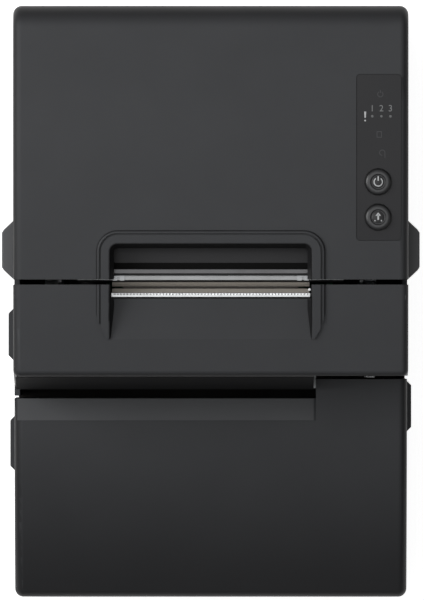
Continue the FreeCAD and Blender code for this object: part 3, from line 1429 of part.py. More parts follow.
def thermal_head():
    """Ceramic head strip on its aluminium heat sink, with two spring seats and cooling grooves."""
    low = PLATEN_Z - HEAD_H / 2
    high = low + HEAD_H
    half = PLATEN_L / 2
    strip = box(-half, half, HEAD_FACE_Y - HEAD_T, HEAD_FACE_Y, low, high)
    sink = box(-half - SINK_OUT, half + SINK_OUT, SINK_BACK_Y, HEAD_FACE_Y - HEAD_T, low, high)
    first = (low + high) / 2 - SINK_GROOVE_PITCH * (SINK_GROOVES - 1) / 2 - SINK_GROOVE_W / 2
    for index in range(SINK_GROOVES):
        z = first + index * SINK_GROOVE_PITCH
        end = SINK_BACK_Y + SINK_GROOVE_DEPTH
        sink = sink.cut(box(-half, half, SINK_BACK_Y - OVER, end, z, z + SINK_GROOVE_W))
    return fuse([strip, sink])


def head_springs():
    """Two coil springs that press the head against the platen."""
    springs = []
    for side in (-1, 1):
        x = side * (PLATEN_L / 2 + SPRING_OUT)
        helix = Part.makeHelix(SPRING_PITCH, SPRING_L - 2 * SPRING_WIRE_R, SPRING_R)
        profile = Part.Wire([Part.makeCircle(SPRING_WIRE_R, vec(SPRING_R, 0, 0), vec(0, 1, 0))])
        coil = Part.Wire(helix.Edges).makePipeShell([profile], True, True)
        coil.rotate(vec(0, 0, 0), vec(1, 0, 0), 90)
        coil.translate(vec(x, SINK_BACK_Y - SPRING_WIRE_R - PIN_GAP, PLATEN_Z))
        springs.append(coil)
    return Part.makeCompound(springs)


def head_plate():
    """Cross plate between the side frames that backs the head springs."""
    face = SINK_BACK_Y - SPRING_L - SPRING_SEAT
    low = PLATEN_Z - HEAD_H / 2
    foot = low - RUN_GAP - HEAD_REST_T
    half = PLATEN_L / 2 + SINK_OUT
    plate = box(-FRAME_X, FRAME_X, face - FRAME_T, face, foot, low + HEAD_H - 2 * HEAD_T)
    rest = box(-half, half, face - FRAME_T, HEAD_FACE_Y - 2 * HEAD_T, foot, foot + HEAD_REST_T)
    return fuse([plate, rest])


def cutter_frame():
    """Folded C-section that guides the moving blade: deck, front wall, roof and two cheeks."""
    z1 = BLADE_Z - BLADE_GAP
    z0 = z1 - FRAME_T
    rear = BLADE_REST_Y + FRAME_T
    deck = box(-FRAME_X, FRAME_X, CUTTER_FRONT_Y, rear, z0, z1)
    for side in (-1, 1):
        half = RACK_W / 2 + RACK_CLEAR
        x = side * RACK_X
        front = CUTTER_FRONT_Y + 2 * FRAME_T
        deck = deck.cut(box(x - half, x + half, front, rear - 2 * FRAME_T, z0 - OVER, z1 + OVER))
    front = box(-FRAME_X, FRAME_X, CUTTER_FRONT_Y, CUTTER_FRONT_Y + FRAME_T, z0, ROOF_Z + FRAME_T)
    roof = box(-FRAME_X, FRAME_X, CUTTER_FRONT_Y, TEAR_REAR_Y, ROOF_Z, ROOF_Z + FRAME_T)
    cheeks = []
    for side in (-1, 1):
        low, high = sorted((side * FRAME_X, side * (FRAME_X - FRAME_T)))
        back = CUTTER_Y + CUTTER_CHEEK_BACK
        cheek = box(low, high, CUTTER_FRONT_Y, back, z0 - CUTTER_CHEEK_H, ROOF_Z + FRAME_T)
        cheeks.append(cheek.cut(rod_x(-BODY_W, BODY_W, CUTTER_Y, CUTTER_Z, CUTTER_SHAFT_R + PIN_GAP)))
    return fuse([deck, front, roof] + cheeks)


def tear_bar():
    """Bright tear-off edge along the front of the paper slot."""
    foot = ROOF_Z + FRAME_T
    path = [
        (TEAR_FRONT_Y, foot),
        (TEAR_FRONT_Y, TEAR_TOP - TEAR_EDGE),
        (TEAR_FRONT_Y + TEAR_EDGE, TEAR_TOP),
        (TEAR_REAR_Y - TEAR_EDGE / 2, TEAR_TOP),
        (TEAR_REAR_Y, TEAR_TOP - TEAR_EDGE),
        (TEAR_REAR_Y, foot),
    ]
    half = EXIT_HALF - LID_GAP
    return slab_x(path, -half, half)


def cutter_blade():
    """Moving blade with a shallow V edge and a rack under each end."""
    front = CUTTER_FRONT_Y + 2 * FRAME_T
    path = [
        (-BLADE_HALF, front),
        (BLADE_HALF, front),
        (BLADE_HALF, BLADE_REST_Y),
        (0, BLADE_REST_Y - BLADE_V),
        (-BLADE_HALF, BLADE_REST_Y),
    ]
    blade = slab_z(path, BLADE_Z, BLADE_Z + BLADE_T)
    step = math.pi * GEAR_MODULE
    racks = []
    for side in (-1, 1):
        low, high = sorted((side * (RACK_X - RACK_W / 2), side * (RACK_X + RACK_W / 2)))
        points = [(CUTTER_Y - (RACK_TEETH_BACK + RACK_LEAD) * step, BLADE_Z + BLADE_T / 2)]
        for index in range(-RACK_TEETH_BACK, RACK_TEETH_FRONT):
            middle = CUTTER_Y + index * step
            points += [
                (middle - RACK_ROOT_SHARE * step, BLADE_Z),
                (middle - RACK_TIP_SHARE * step, BLADE_Z - RACK_H),
                (middle + RACK_TIP_SHARE * step, BLADE_Z - RACK_H),
                (middle + RACK_ROOT_SHARE * step, BLADE_Z),
            ]
        points.append((CUTTER_Y + (RACK_TEETH_FRONT - 1 + RACK_LEAD) * step, BLADE_Z + BLADE_T / 2))
        racks.append(slab_x(points, low, high))
    return fuse([blade] + racks)


def cutter_shaft():
    """Cross shaft with a pinion under each rack."""
    wall_x = FRAME_X + FRAME_T
    shaft = rod_x(-wall_x - CUTTER_KEY_L, wall_x + SHAFT_END, CUTTER_Y, CUTTER_Z, CUTTER_SHAFT_R)
    turn = mesh_turn(CUTTER_TEETH, math.pi / 2, True)
    pinions = []
    for side in (-1, 1):
        low, high = sorted((side * (RACK_X - RACK_W / 2), side * (RACK_X + RACK_W / 2)))
        pinions.append(gear(CUTTER_TEETH, CUTTER_Y, CUTTER_Z, low, high, turn, 0))
    return fuse([shaft] + pinions)


def cutter_motor():
    """Geared motor on the outside of the left frame, keyed to the cutter shaft."""
    x1 = -FRAME_X - FRAME_T
    body = soft_box(
        x1 - CUTTER_MOTOR_L,
        x1,
        CUTTER_Y - CUTTER_MOTOR_HALF,
        CUTTER_Y + CUTTER_MOTOR_HALF,
        CUTTER_Z - CUTTER_MOTOR_DROP,
        CUTTER_Z + CUTTER_MOTOR_HALF,
        CUTTER_MOTOR_R,
    )
    return body.cut(rod_x(x1 - CUTTER_KEY_L - OVER, x1 + OVER, CUTTER_Y, CUTTER_Z, CUTTER_SHAFT_R + PIN_GAP))


def lower_slip_guide():
    """Lower plate of the slip path with roller and stopper windows."""
    z0 = SLIP_Z - GUIDE_T
    front = LID_FOOT_Y + LID_GAP
    plate = box(-INNER_X, MOUTH_RIGHT_X, front, GUIDE_REAR_Y, z0, SLIP_Z)
    for x in ROLLER_X:
        plate = plate.cut(roller_window(x, ROLLER_WINDOW, z0, SLIP_Z))
    plate = plate.cut(stopper_teeth(STOPPER_CLEAR, z0 - OVER, SLIP_Z + OVER))
    wall_front = front + ROLLER_WINDOW
    wall = box(MOUTH_RIGHT_X, MOUTH_RIGHT_X + FRAME_T, wall_front, GUIDE_REAR_Y, z0, SLIP_Z + SLIP_GAP)
    wing_front = ROLLER_SHAFT_Y + ROLLER_WINDOW
    wing = box(MOUTH_RIGHT_X, FRAME_X, wing_front, GUIDE_REAR_Y, z0, SLIP_Z)
    return fuse([plate, wall, wing])


def roller_window(x, reach, z0, z1):
    """Opening in a guide plate round a roller."""
    half = ROLLER_HALF + ROLLER_SIDE_GAP
    return box(x - half, x + half, ROLLER_SHAFT_Y - reach, ROLLER_SHAFT_Y + reach, z0 - OVER, z1 + OVER)


def upper_slip_guide():
    """Upper plate of the slip path with the printing window."""
    z0 = SLIP_Z + SLIP_GAP
    z1 = z0 + GUIDE_T - BLADE_GAP
    plate = box(-FRAME_X, FRAME_X, FRAME_FRONT_Y, GUIDE_REAR_Y, z0, z1)
    window_left = -FRAME_X + RACK_IN
    window = box(window_left, MOUTH_RIGHT_X, HEAD_Y - HEAD_WINDOW, HEAD_Y + HEAD_WINDOW, z0 - OVER, z1 + OVER)
    plate = plate.cut(window)
    for x in ROLLER_X:
        plate = plate.cut(roller_window(x, ROLLER_R + RUN_GAP, z0, z1))
    plate = plate.cut(stopper_teeth(STOPPER_CLEAR, z0 - OVER, z1 + OVER))
    uprights = []
    front = ROLLER_SHAFT_Y - PINCH_ARM_HALF
    back = ROLLER_SHAFT_Y + PINCH_ARM_HALF
    for x in PINCH_ARMS:
        upright = box(x, x + PINCH_ARM_T, front, back, z0, PINCH_Z + PINCH_ARM_RISE)
        bore = rod_x(x - OVER, x + PINCH_ARM_T + OVER, ROLLER_SHAFT_Y, PINCH_Z, PINCH_SHAFT_R + PIN_GAP)
        uprights.append(upright.cut(bore))
    return fuse([plate] + uprights)


def stopper_teeth(grow, z0, z1):
    """Comb of the form stopper, or its windows when grown."""
    teeth = []
    half_w = STOPPER_TOOTH_W / 2 + grow
    half_t = STOPPER_T / 2 + grow
    for x in (-STOPPER_PITCH, 0.0, STOPPER_PITCH):
        teeth.append(box(x - half_w, x + half_w, STOPPER_Y - half_t, STOPPER_Y + half_t, z0, z1))
    return Part.makeCompound(teeth)


def form_stopper():
    """Comb that rises through the slip path, on the plunger of its solenoid."""
    half = STOPPER_PITCH + STOPPER_TOOTH_W / 2
    low = STOPPER_TOP - STOPPER_BAR_DROP
    high = low + STOPPER_BAR_H
    bar = box(-half, half, STOPPER_Y - STOPPER_T / 2, STOPPER_Y + STOPPER_T / 2, low, high)
    teeth = stopper_teeth(0, low + STOPPER_BAR_H / 2, STOPPER_TOP)
    plunger_foot = STOPPER_TOP - PLUNGER_L - STOPPER_TRAVEL
    plunger = rod_z(plunger_foot, low + STOPPER_BAR_H / 2, 0, STOPPER_Y, PLUNGER_R)
    return fuse([bar, plunger] + teeth.Solids)


def stopper_solenoid():
    """Solenoid of the form stopper on its bracket to the head plate side."""
    top = STOPPER_TOP - SOLENOID_DROP
    seat = top - SOLENOID_H
    half = SOLENOID_HALF_W
    front = STOPPER_Y - SOLENOID_FOOT
    back = STOPPER_Y + SOLENOID_FOOT
    can = rod_z(seat, top, 0, STOPPER_Y, SOLENOID_R)
    bracket = box(-half, half, front, back, seat - SOLENOID_SHEET, seat)
    post = box(-half, half, back - SOLENOID_SHEET, back, PLATE_TOP, seat)
    foot = box(-half, half, front, back, PLATE_TOP, PLATE_TOP + SOLENOID_SHEET)
    bore = rod_z(top - SOLENOID_BORE, top + OVER, 0, STOPPER_Y, PLUNGER_R + PIN_GAP)
    return fuse([can, bracket, post, foot]).cut(bore)


def slip_roller_shaft():
    """Slip drive shaft across both frames, with its gear."""
    left = -FRAME_X - FRAME_T - SHAFT_END
    shaft = rod_x(left, GEAR_X1 + SHAFT_END, ROLLER_SHAFT_Y, ROLLER_SHAFT_Z, SHAFT_R)
    toward = math.atan2(SLIP_MOTOR_Z - ROLLER_SHAFT_Z, SLIP_MOTOR_Y - ROLLER_SHAFT_Y)
    wheel = gear(
        SLIP_GEAR_TEETH,
        ROLLER_SHAFT_Y,
        ROLLER_SHAFT_Z,
        GEAR_X0,
        GEAR_X1,
        mesh_turn(SLIP_GEAR_TEETH, toward, True),
        0,
    )
    return fuse([shaft, wheel])


def slip_rollers():
    """Rubber tyres on the slip drive shaft."""
    tyres = []
    for x in ROLLER_X:
        tyre = rod_x(x - ROLLER_HALF, x + ROLLER_HALF, ROLLER_SHAFT_Y, ROLLER_SHAFT_Z, ROLLER_R)
        bore = rod_x(x - 2 * ROLLER_HALF, x + 2 * ROLLER_HALF, ROLLER_SHAFT_Y, ROLLER_SHAFT_Z, SHAFT_R)
        tyres.append(tyre.cut(bore))
    return Part.makeCompound(tyres)


def pinch_rollers():
    """Idle rollers above the slip path on one thin shaft."""
    reach = FRAME_X - PINCH_SHAFT_IN
    shaft = rod_x(-reach, reach, ROLLER_SHAFT_Y, PINCH_Z, PINCH_SHAFT_R)
    half = ROLLER_HALF - ROLLER_SIDE_GAP
    wheels = [rod_x(x - half, x + half, ROLLER_SHAFT_Y, PINCH_Z, PINCH_R) for x in ROLLER_X]
    return fuse([shaft] + wheels)


def carriage_rod():
    return rod_x(-FRAME_X - FRAME_T, FRAME_X + FRAME_T, CARRIAGE_ROD_Y, CARRIAGE_ROD_Z, CARRIAGE_ROD_R)


def carriage():
    """Print head carriage, bored for its rod, with a tab under the belt."""
    x0 = CARRIAGE_REST_X - CARRIAGE_W / 2
    x1 = x0 + CARRIAGE_W
    path = [
        (HEAD_Y - CARRIAGE_FRONT, CARRIAGE_LOW),
        (HEAD_Y - CARRIAGE_FRONT, CARRIAGE_HIGH - CARRIAGE_CHAMFER),
        (HEAD_Y - CARRIAGE_FRONT + CARRIAGE_CHAMFER, CARRIAGE_HIGH),
        (CARRIAGE_REAR_Y, CARRIAGE_HIGH),
        (CARRIAGE_REAR_Y, CARRIAGE_LOW + CARRIAGE_TAB_T),
        (BELT_Y + BELT_W - BELT_T, CARRIAGE_LOW + CARRIAGE_TAB_T),
        (BELT_Y + BELT_W - BELT_T, CARRIAGE_LOW),
    ]
    block = slab_x(path, x0, x1)
    block = block.cut(rod_x(x0 - OVER, x1 + OVER, CARRIAGE_ROD_Y, CARRIAGE_ROD_Z, CARRIAGE_ROD_R + PIN_GAP))
    seat_top = CARRIAGE_LOW + HEAD_BARREL_H
    return block.cut(rod_z(CARRIAGE_LOW - OVER, seat_top, CARRIAGE_REST_X, HEAD_Y, HEAD_BARREL_R))


def print_head():
    """Impact head set in the carriage, with a round barrel and a narrow nose."""
    barrel = rod_z(CARRIAGE_LOW, CARRIAGE_LOW + HEAD_BARREL_H, CARRIAGE_REST_X, HEAD_Y, HEAD_BARREL_R)
    nose = box(
        CARRIAGE_REST_X - HEAD_NOSE_W / 2,
        CARRIAGE_REST_X + HEAD_NOSE_W / 2,
        HEAD_Y - HEAD_NOSE_L / 2,
        HEAD_Y + HEAD_NOSE_L / 2,
        SLIP_Z + SLIP_GAP + HEAD_NOSE_LIFT,
        CARRIAGE_LOW,
    )
    return fuse([barrel, nose])


def timing_belt():
    """Closed belt round the two pulleys behind the carriage."""
    outer_r = PULLEY_R + BELT_T
    inner_r = PULLEY_R + BELT_SEAT
    loops = []
    for radius in (outer_r, inner_r):
        path = [
            (-PULLEY_X, PULLEY_Z + radius),
            (PULLEY_X, PULLEY_Z + radius),
            arc((PULLEY_X + radius, PULLEY_Z), (PULLEY_X, PULLEY_Z - radius)),
            (-PULLEY_X, PULLEY_Z - radius),
            arc((-PULLEY_X - radius, PULLEY_Z), (-PULLEY_X, PULLEY_Z + radius)),
        ]
        loops.append(slab_y(path, BELT_Y, BELT_Y + BELT_W))
    return loops[0].cut(loops[1])


def pulley(x):
    """Toothless belt pulley with thin flanges and a stub shaft behind."""
    hub = rod_y(BELT_Y, BELT_Y + BELT_W, x, PULLEY_Z, PULLEY_R)
    shaft_end = PULLEY_PLATE_Y + FRAME_T + PULLEY_SHAFT_L
    return fuse([hub, rod_y(BELT_Y + BELT_W, shaft_end, x, PULLEY_Z, PULLEY_SHAFT_R)])


def pulley_plates():
    """Plates from both side frames that carry the pulleys."""
    plates = []
    y1 = PULLEY_PLATE_Y + FRAME_T
    for side in (-1, 1):
        low, high = sorted((side * FRAME_X, side * (PULLEY_X - PULLEY_PLATE_IN)))
        plate = box(low, high, PULLEY_PLATE_Y, y1, PULLEY_Z - PULLEY_PLATE_HALF, PULLEY_Z + PULLEY_PLATE_HALF)
        bore = rod_y(PULLEY_PLATE_Y - OVER, y1 + OVER, side * PULLEY_X, PULLEY_Z, PULLEY_SHAFT_R + PIN_GAP)
        plates.append(plate.cut(bore))
    return Part.makeCompound(plates)


def carriage_motor():
    """Motor of the carriage belt, on the left pulley plate."""
    y0 = PULLEY_PLATE_Y + FRAME_T
    y1 = y0 + CARRIAGE_MOTOR_L
    can = rod_y(y0, y1, -PULLEY_X, PULLEY_Z, CARRIAGE_MOTOR_R)
    can = round_edges(can, MOTOR_EDGE_R, lambda p, e: p.y > y1 - 1e-3)
    bore_end = y0 + PULLEY_SHAFT_L + RUN_GAP
    return can.cut(rod_y(y0 - OVER, bore_end, -PULLEY_X, PULLEY_Z, PULLEY_SHAFT_R + PIN_GAP))


def ribbon_cassette():
    """Flat ribbon cassette above the carriage, with two arms that hold the ribbon."""
    shell = soft_box(
        -CASSETTE_HALF,
        CASSETTE_HALF,
        CASSETTE_FRONT_Y,
        CASSETTE_REAR_Y,
        CASSETTE_LOW,
        CASSETTE_HIGH,
        CASSETTE_R,
    )
    shell = round_edges(shell, CASSETTE_EDGE_R, lambda p, e: p.z > CASSETTE_HIGH - 1e-3)
    arms = []
    for side in (-1, 1):
        low, high = sorted((side * CASSETTE_HALF, side * (CASSETTE_HALF - CASSETTE_ARM_W)))
        foot = SLIP_Z + SLIP_GAP + CASSETTE_ARM_LIFT
        arms.append(
            box(low, high, HEAD_Y - CASSETTE_ARM_FRONT, HEAD_Y + CASSETTE_ARM_REAR, foot, CASSETTE_LOW)
        )
    shell = fuse([shell] + arms)
    bore_foot = CASSETTE_HIGH - KNOB_STEM_L - RUN_GAP
    return shell.cut(rod_z(bore_foot, CASSETTE_HIGH + OVER, KNOB_X, KNOB_Y, KNOB_STEM_R + PIN_GAP))


def ink_ribbon():
    """Stretch of inked ribbon between the cassette arms."""
    z0 = SLIP_Z + SLIP_GAP + RIBBON_LIFT
    half = CASSETTE_HALF - CASSETTE_ARM_W
    return box(-half, half, HEAD_Y - RIBBON_FRONT, HEAD_Y + RIBBON_REAR, z0, z0 + RIBBON_T)


def ribbon_knob():
    """Knurled take-up knob on the cassette."""
    points = []
    for index in range(2 * KNOB_RIDGES):
        angle = index * math.pi / KNOB_RIDGES
        radius = KNOB_R if index % 2 else KNOB_R - KNOB_RIDGE_H
        points.append((KNOB_X + radius * math.cos(angle), KNOB_Y + radius * math.sin(angle)))
    head = slab_z(points, CASSETTE_HIGH + RUN_GAP, CASSETTE_HIGH + KNOB_H)
    stem = rod_z(CASSETTE_HIGH - KNOB_STEM_L, CASSETTE_HIGH + KNOB_H / 2, KNOB_X, KNOB_Y, KNOB_STEM_R)
    return fuse([head, stem])


def roll_bay():
    """Open trough that the paper roll drops into, on two ribs to the base plate."""
    half = ROLL_W / 2 + BAY_WALL
    shapes = []
    for radius, reach in ((BAY_R + BAY_WALL, half), (BAY_R, ROLL_W / 2)):
        top = CASE_TOP if reach == half else CASE_TOP + OVER
        path = [
            (ROLL_Y - radius, top),
            (ROLL_Y - radius, ROLL_Z),
            arc((ROLL_Y, ROLL_Z - radius), (ROLL_Y + radius, ROLL_Z)),
            (ROLL_Y + radius, top),
        ]
        shapes.append(slab_x(path, -reach, reach))
    trough = shapes[0].cut(shapes[1])
    floor = ROLL_Z - BAY_R - BAY_WALL / 2
    ribs = []
    for side in (-1, 1):
        low, high = sorted((side * half, side * (half - BAY_WALL)))
        ribs.append(box(low, high, ROLL_Y - RIB_FRONT, ROLL_Y + RIB_REAR, PLATE_TOP, floor + RIB_OVERLAP))
    ledge = box(-half, half, ROLL_Y - RIB_FRONT, ROLL_Y + RIB_REAR, PLATE_TOP, PLATE_TOP + BAY_WALL)
    return fuse([trough, ledge] + ribs)


def main_board():
    """Main circuit board behind the front unit, on four posts, with a few chips."""
    z0 = PLATE_TOP + MAIN_BOARD_LIFT
    z1 = z0 + BOARD_T
    half = FRAME_X - MAIN_BOARD_IN
    front = MAIN_BOARD_FRONT_Y
    back = ROLL_Y - MAIN_BOARD_REAR_GAP
    board = box(-half, half, front, back, z0, z1)
    chips = [box(x, x + CHIP_W, y, y + CHIP_W, z1, z1 + BOARD_T) for x, y in CHIP_SPOTS]
    posts = []
    for side in (-1, 1):
        for y in (front + MAIN_POST_IN, back - MAIN_POST_IN):
            posts.append(rod_z(PLATE_TOP, z0, side * (half - MAIN_POST_IN), y, MAIN_POST_R))
    notch_half = SOLENOID_HALF_W + UNIT_EAR_T
    reach = SOLENOID_FOOT + SOLENOID_SHEET
    notch = box(-notch_half, notch_half, STOPPER_Y - reach, STOPPER_Y + reach, z0 - OVER, z1 + OVER)
    return fuse([board.cut(notch)] + chips + posts)


def interface_plate():
    """Steel plate at the inner end of the port bay, with the port cut-outs."""
    half = BAY_HALF_W - RUN_GAP
    y1 = BAY_END_Y + FRAME_T
    plate = box(-half, half, BAY_END_Y, y1, PLATE_TOP, BAY_TOP - RUN_GAP)
    flange = box(-half, half, BAY_END_Y - PORT_FLANGE, BAY_END_Y, PLATE_TOP, PLATE_TOP + FRAME_T)
    for x0, x1, z0, z1 in PORTS.values():
        hole = box(
            x0 - PORT_CLEAR, x1 + PORT_CLEAR, BAY_END_Y - OVER, y1 + OVER, z0 - PORT_CLEAR, z1 + PORT_CLEAR
        )
        plate = plate.cut(hole)
    return fuse([plate, flange])


def port(name):
    """Shielded socket with an open mouth to the rear."""
    x0, x1, z0, z1 = PORTS[name]
    back = PORT_FACE_Y - PORT_DEPTH
    shell = box(x0, x1, back, PORT_FACE_Y, z0, z1)
    hollow = box(
        x0 + PORT_SHEET,
        x1 - PORT_SHEET,
        back + PORT_BACK,
        PORT_FACE_Y + OVER,
        z0 + PORT_SHEET,
        z1 - PORT_SHEET,
    )
    return shell.cut(hollow)


def power_inlet():
    """Round locking power socket in a square shell."""
    x0, x1, z0, z1 = PORTS["power_inlet"]
    shell = box(x0, x1, PORT_FACE_Y - PORT_DEPTH, PORT_FACE_Y, z0, z1)
    mouth = rod_y(PORT_FACE_Y - INLET_DEPTH, PORT_FACE_Y + OVER, (x0 + x1) / 2, (z0 + z1) / 2, INLET_R)
    return shell.cut(mouth)


def data_ports():
    """Drawer, network and host sockets, the host socket with its tongue."""
    x0, x1, z0, z1 = PORTS["host_port"]
    middle = (x0 + x1) / 2
    level = (z0 + z1) / 2
    back = PORT_FACE_Y - PORT_DEPTH + PORT_BACK / 2
    tongue = box(
        middle - TONGUE_W / 2,
        middle + TONGUE_W / 2,
        back,
        back + TONGUE_L,
        level - TONGUE_T / 2,
        level + TONGUE_T / 2,
    )
    host = fuse([port("host_port"), tongue])
    return Part.makeCompound([port("drawer_port"), port("network_port"), host])


def port_board():
    """Small board that the sockets are soldered to."""
    x0 = -BAY_HALF_W + PORT_BOARD_IN
    y1 = BAY_END_Y - PORT_BOARD_BACK
    low = PORT_Z - BOARD_T
    board = box(x0, x0 + PORT_BOARD_W, y1 - PORT_BOARD_L, y1, low, PORT_Z)
    post_y = BAY_END_Y - PORT_POST_IN
    posts = [rod_z(PLATE_TOP, low, -BAY_HALF_W + off, post_y, PORT_POST_R) for off in PORT_POSTS]
    return fuse([board] + posts)


def control_panel():
    """Thin panel set flush in the roll cover, with windows and two key holes."""
    panel = soft_box(
        PANEL_X - PANEL_W / 2,
        PANEL_X + PANEL_W / 2,
        PANEL_Y - PANEL_L / 2,
        PANEL_Y + PANEL_L / 2,
        0,
        2 * BODY_H,
        PANEL_R,
    )
    skin = raised_layer(-LID_GAP / 2, PANEL_Y - PANEL_L, PANEL_Y + PANEL_L, PANEL_T + LID_GAP)
    panel = panel.common(skin)
    for y in (POWER_KEY_Y, FEED_KEY_Y):
        panel = panel.cut(rod_z(0, 2 * BODY_H, KEY_X, y, KEY_R + RUN_GAP))
    for x, y in LIGHT_SPOTS:
        panel = panel.cut(rod_z(0, 2 * BODY_H, x, y, LIGHT_R))
    return panel


def status_lights():
    """Clear light pipes in the panel, standing on the panel board."""
    pipes = []
    for x, y in LIGHT_SPOTS:
        pipe = rod_z(panel_board_top(), 2 * BODY_H, x, y, LIGHT_R)
        pipes.append(pipe.common(raised_layer(-LID_GAP / 2, y - PANEL_W, y + PANEL_W, BODY_H)))
    return Part.makeCompound(pipes)


def panel_board_top():
    return top_z(FEED_KEY_Y) - PANEL_BOARD_DROP


def panel_board():
    """Board under the panel with two dome switches, hung on posts from the cover."""
    top = panel_board_top()
    board = box(
        PANEL_X - PANEL_W / 2 + PANEL_BOARD_IN,
        PANEL_X + PANEL_W / 2 - PANEL_BOARD_IN,
        FEED_KEY_Y - PANEL_BOARD_FRONT,
        LIGHT_Y + PANEL_BOARD_REAR,
        top - BOARD_T,
        top,
    )
    domes = [rod_z(top, top + DOME_H, KEY_X, y, DOME_R) for y in (POWER_KEY_Y, FEED_KEY_Y)]
    posts = []
    for y in (FEED_KEY_Y - PANEL_POST_FRONT, LIGHT_Y + PANEL_POST_REAR):
        post = rod_z(top, 2 * BODY_H, PANEL_X - PANEL_W / 3, y, PANEL_POST_R)
        posts.append(post.common(raised_layer(-WALL, y - PANEL_W, y + PANEL_W, BODY_H)))
    return fuse([board] + domes + posts)


def key(y):
    """Round key with a domed rim and dished face, a skirt behind the cover and a stem to its switch."""
    surface = top_z(y)
    rim = surface + KEY_RISE
    foot = panel_board_top() + DOME_H + KEY_TRAVEL + RUN_GAP
    skirt = surface - WALL - KEY_SKIRT_DROP
    profile = [
        (0, foot),
        (KEY_STEM_R, foot),
        (KEY_STEM_R, skirt - KEY_SKIRT_T),
        (KEY_R + KEY_SKIRT_OUT, skirt - KEY_SKIRT_T),
        (KEY_R + KEY_SKIRT_OUT, skirt),
        (KEY_R, skirt),
        (KEY_R, surface),
        arc((0.92 * KEY_R, surface + 0.62 * KEY_RISE), (0.74 * KEY_R, rim)),
        (0.61 * KEY_R, rim),
        (0.52 * KEY_R, rim - 0.7 * KEY_DISH),
        (0, rim - KEY_DISH),
    ]
    face = outline(on_xz, profile)
    body = face.revolve(vec(0, 0, 0), vec(0, 0, 1), 360)
    body.translate(vec(KEY_X, y, 0))
    return body


def power_key():
    return key(POWER_KEY_Y)


def feed_key():
    return key(FEED_KEY_Y)


def latch_shaft():
    """Cross shaft in the roll cover with a hook at each side frame."""
    x1 = HALF_W + RUN_GAP
    shaft = rod_x(-x1, x1, LEVER_PIVOT_Y, LEVER_Z, SHAFT_R)
    hooks = []
    for side in (-1, 1):
        low, high = sorted((side * HOOK_X, side * (HOOK_X + HOOK_T)))
        foot = LEVER_Z - HOOK_DROP
        path = [
            (LEVER_PIVOT_Y - HOOK_W, LEVER_Z),
            (LEVER_PIVOT_Y - HOOK_W, foot),
            (LEVER_PIVOT_Y + HOOK_TOE, foot),
            (LEVER_PIVOT_Y + HOOK_TOE, foot + CATCH_LIFT / 2),
            (LEVER_PIVOT_Y, foot + CATCH_LIFT / 2 + SHAFT_END),
            (LEVER_PIVOT_Y + HOOK_W, LEVER_Z),
        ]
        hooks.append(slab_x(path, low, high))
        hooks.append(rod_x(low, high, LEVER_PIVOT_Y, LEVER_Z, HOOK_HUB_R))
    return fuse([shaft] + hooks)


def release_levers():
    """Finger levers on both ends of the latch shaft, with sloped ends in plan."""
    levers = []
    for side in (-1, 1):
        root = HALF_W + RUN_GAP
        reach = HALF_W + LEVER_OUT
        path = [
            (side * root, LEVER_FRONT_Y),
            (side * (reach - LEVER_CHAMFER), LEVER_FRONT_Y + LEVER_OUT - LEVER_SLOPE),
            (side * reach, LEVER_FRONT_Y + LEVER_OUT),
            (side * reach, LEVER_REAR_Y - LEVER_OUT),
            (side * (reach - LEVER_CHAMFER), LEVER_REAR_Y - LEVER_OUT + LEVER_SLOPE),
            (side * root, LEVER_REAR_Y),
        ]
        lever = slab_z(path, LEVER_Z - LEVER_T / 2, LEVER_Z + LEVER_T / 2)
        top = LEVER_Z + LEVER_T / 2
        lever = round_edges(lever, LEVER_EDGE_R, lambda p, e: p.z > top - 1e-3 and abs(p.x) > root + 0.1)
        levers.append(lever)
    return Part.makeCompound(levers)


NODES = {
    "base_case": base_case,
    "bottom_plate": bottom_plate,
    "rubber_feet": rubber_feet,
    "case_screws": case_screws,
    "cover_hinge_pins": cover_hinge_pins,
    "front_unit_pins": front_unit_pins,
    "left_side_frame": lambda: side_frame(-1),
    "right_side_frame": lambda: side_frame(1),
    "roll_bay": roll_bay,
    "receipt_motor": receipt_motor,
    "feed_pinion": feed_pinion,
    "feed_gear": feed_gear,
    "thermal_head": thermal_head,
    "head_springs": head_springs,
    "head_plate": head_plate,
    "cutter_frame": cutter_frame,
    "cutter_blade": cutter_blade,
    "cutter_shaft": cutter_shaft,
    "cutter_motor": cutter_motor,
    "tear_bar": tear_bar,
    "lower_slip_guide": lower_slip_guide,
    "upper_slip_guide": upper_slip_guide,
    "form_stopper": form_stopper,
    "stopper_solenoid": stopper_solenoid,
    "slip_roller_shaft": slip_roller_shaft,
    "slip_rollers": slip_rollers,
    "slip_motor": slip_motor,
    "slip_pinion": slip_pinion,
    "pinch_rollers": pinch_rollers,
    "carriage_rod": carriage_rod,
    "carriage": carriage,
    "print_head": print_head,
    "timing_belt": timing_belt,
    "drive_pulley": lambda: pulley(-PULLEY_X),
    "idler_pulley": lambda: pulley(PULLEY_X),
    "pulley_plates": pulley_plates,
    "carriage_motor": carriage_motor,
    "ribbon_cassette": ribbon_cassette,
    "ink_ribbon": ink_ribbon,
    "ribbon_knob": ribbon_knob,
    "main_board": main_board,
    "interface_plate": interface_plate,
    "port_board": port_board,
    "power_inlet": power_inlet,
    "data_ports": data_ports,
    "roll_cover": roll_cover,
    "control_panel": control_panel,
    "power_key": power_key,
    "feed_key": feed_key,
    "panel_board": panel_board,
    "platen_bracket": platen_bracket,
    "fixed_blade": fixed_blade,
    "platen_bearings": platen_bearings,
    "platen_shaft": platen_shaft,
    "platen_roller": platen_roller,
    "latch_shaft": latch_shaft,
    "release_levers": release_levers,
    "status_lights": status_lights,
    "front_lid": front_lid,
    "front_unit_case": front_unit_case,
}


def main():
    os.makedirs("parts", exist_ok=True)
    for name, make in NODES.items():
        make().exportStep("parts/%s.step" % name)


if __name__ == "__main__":
    main()
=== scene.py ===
import math

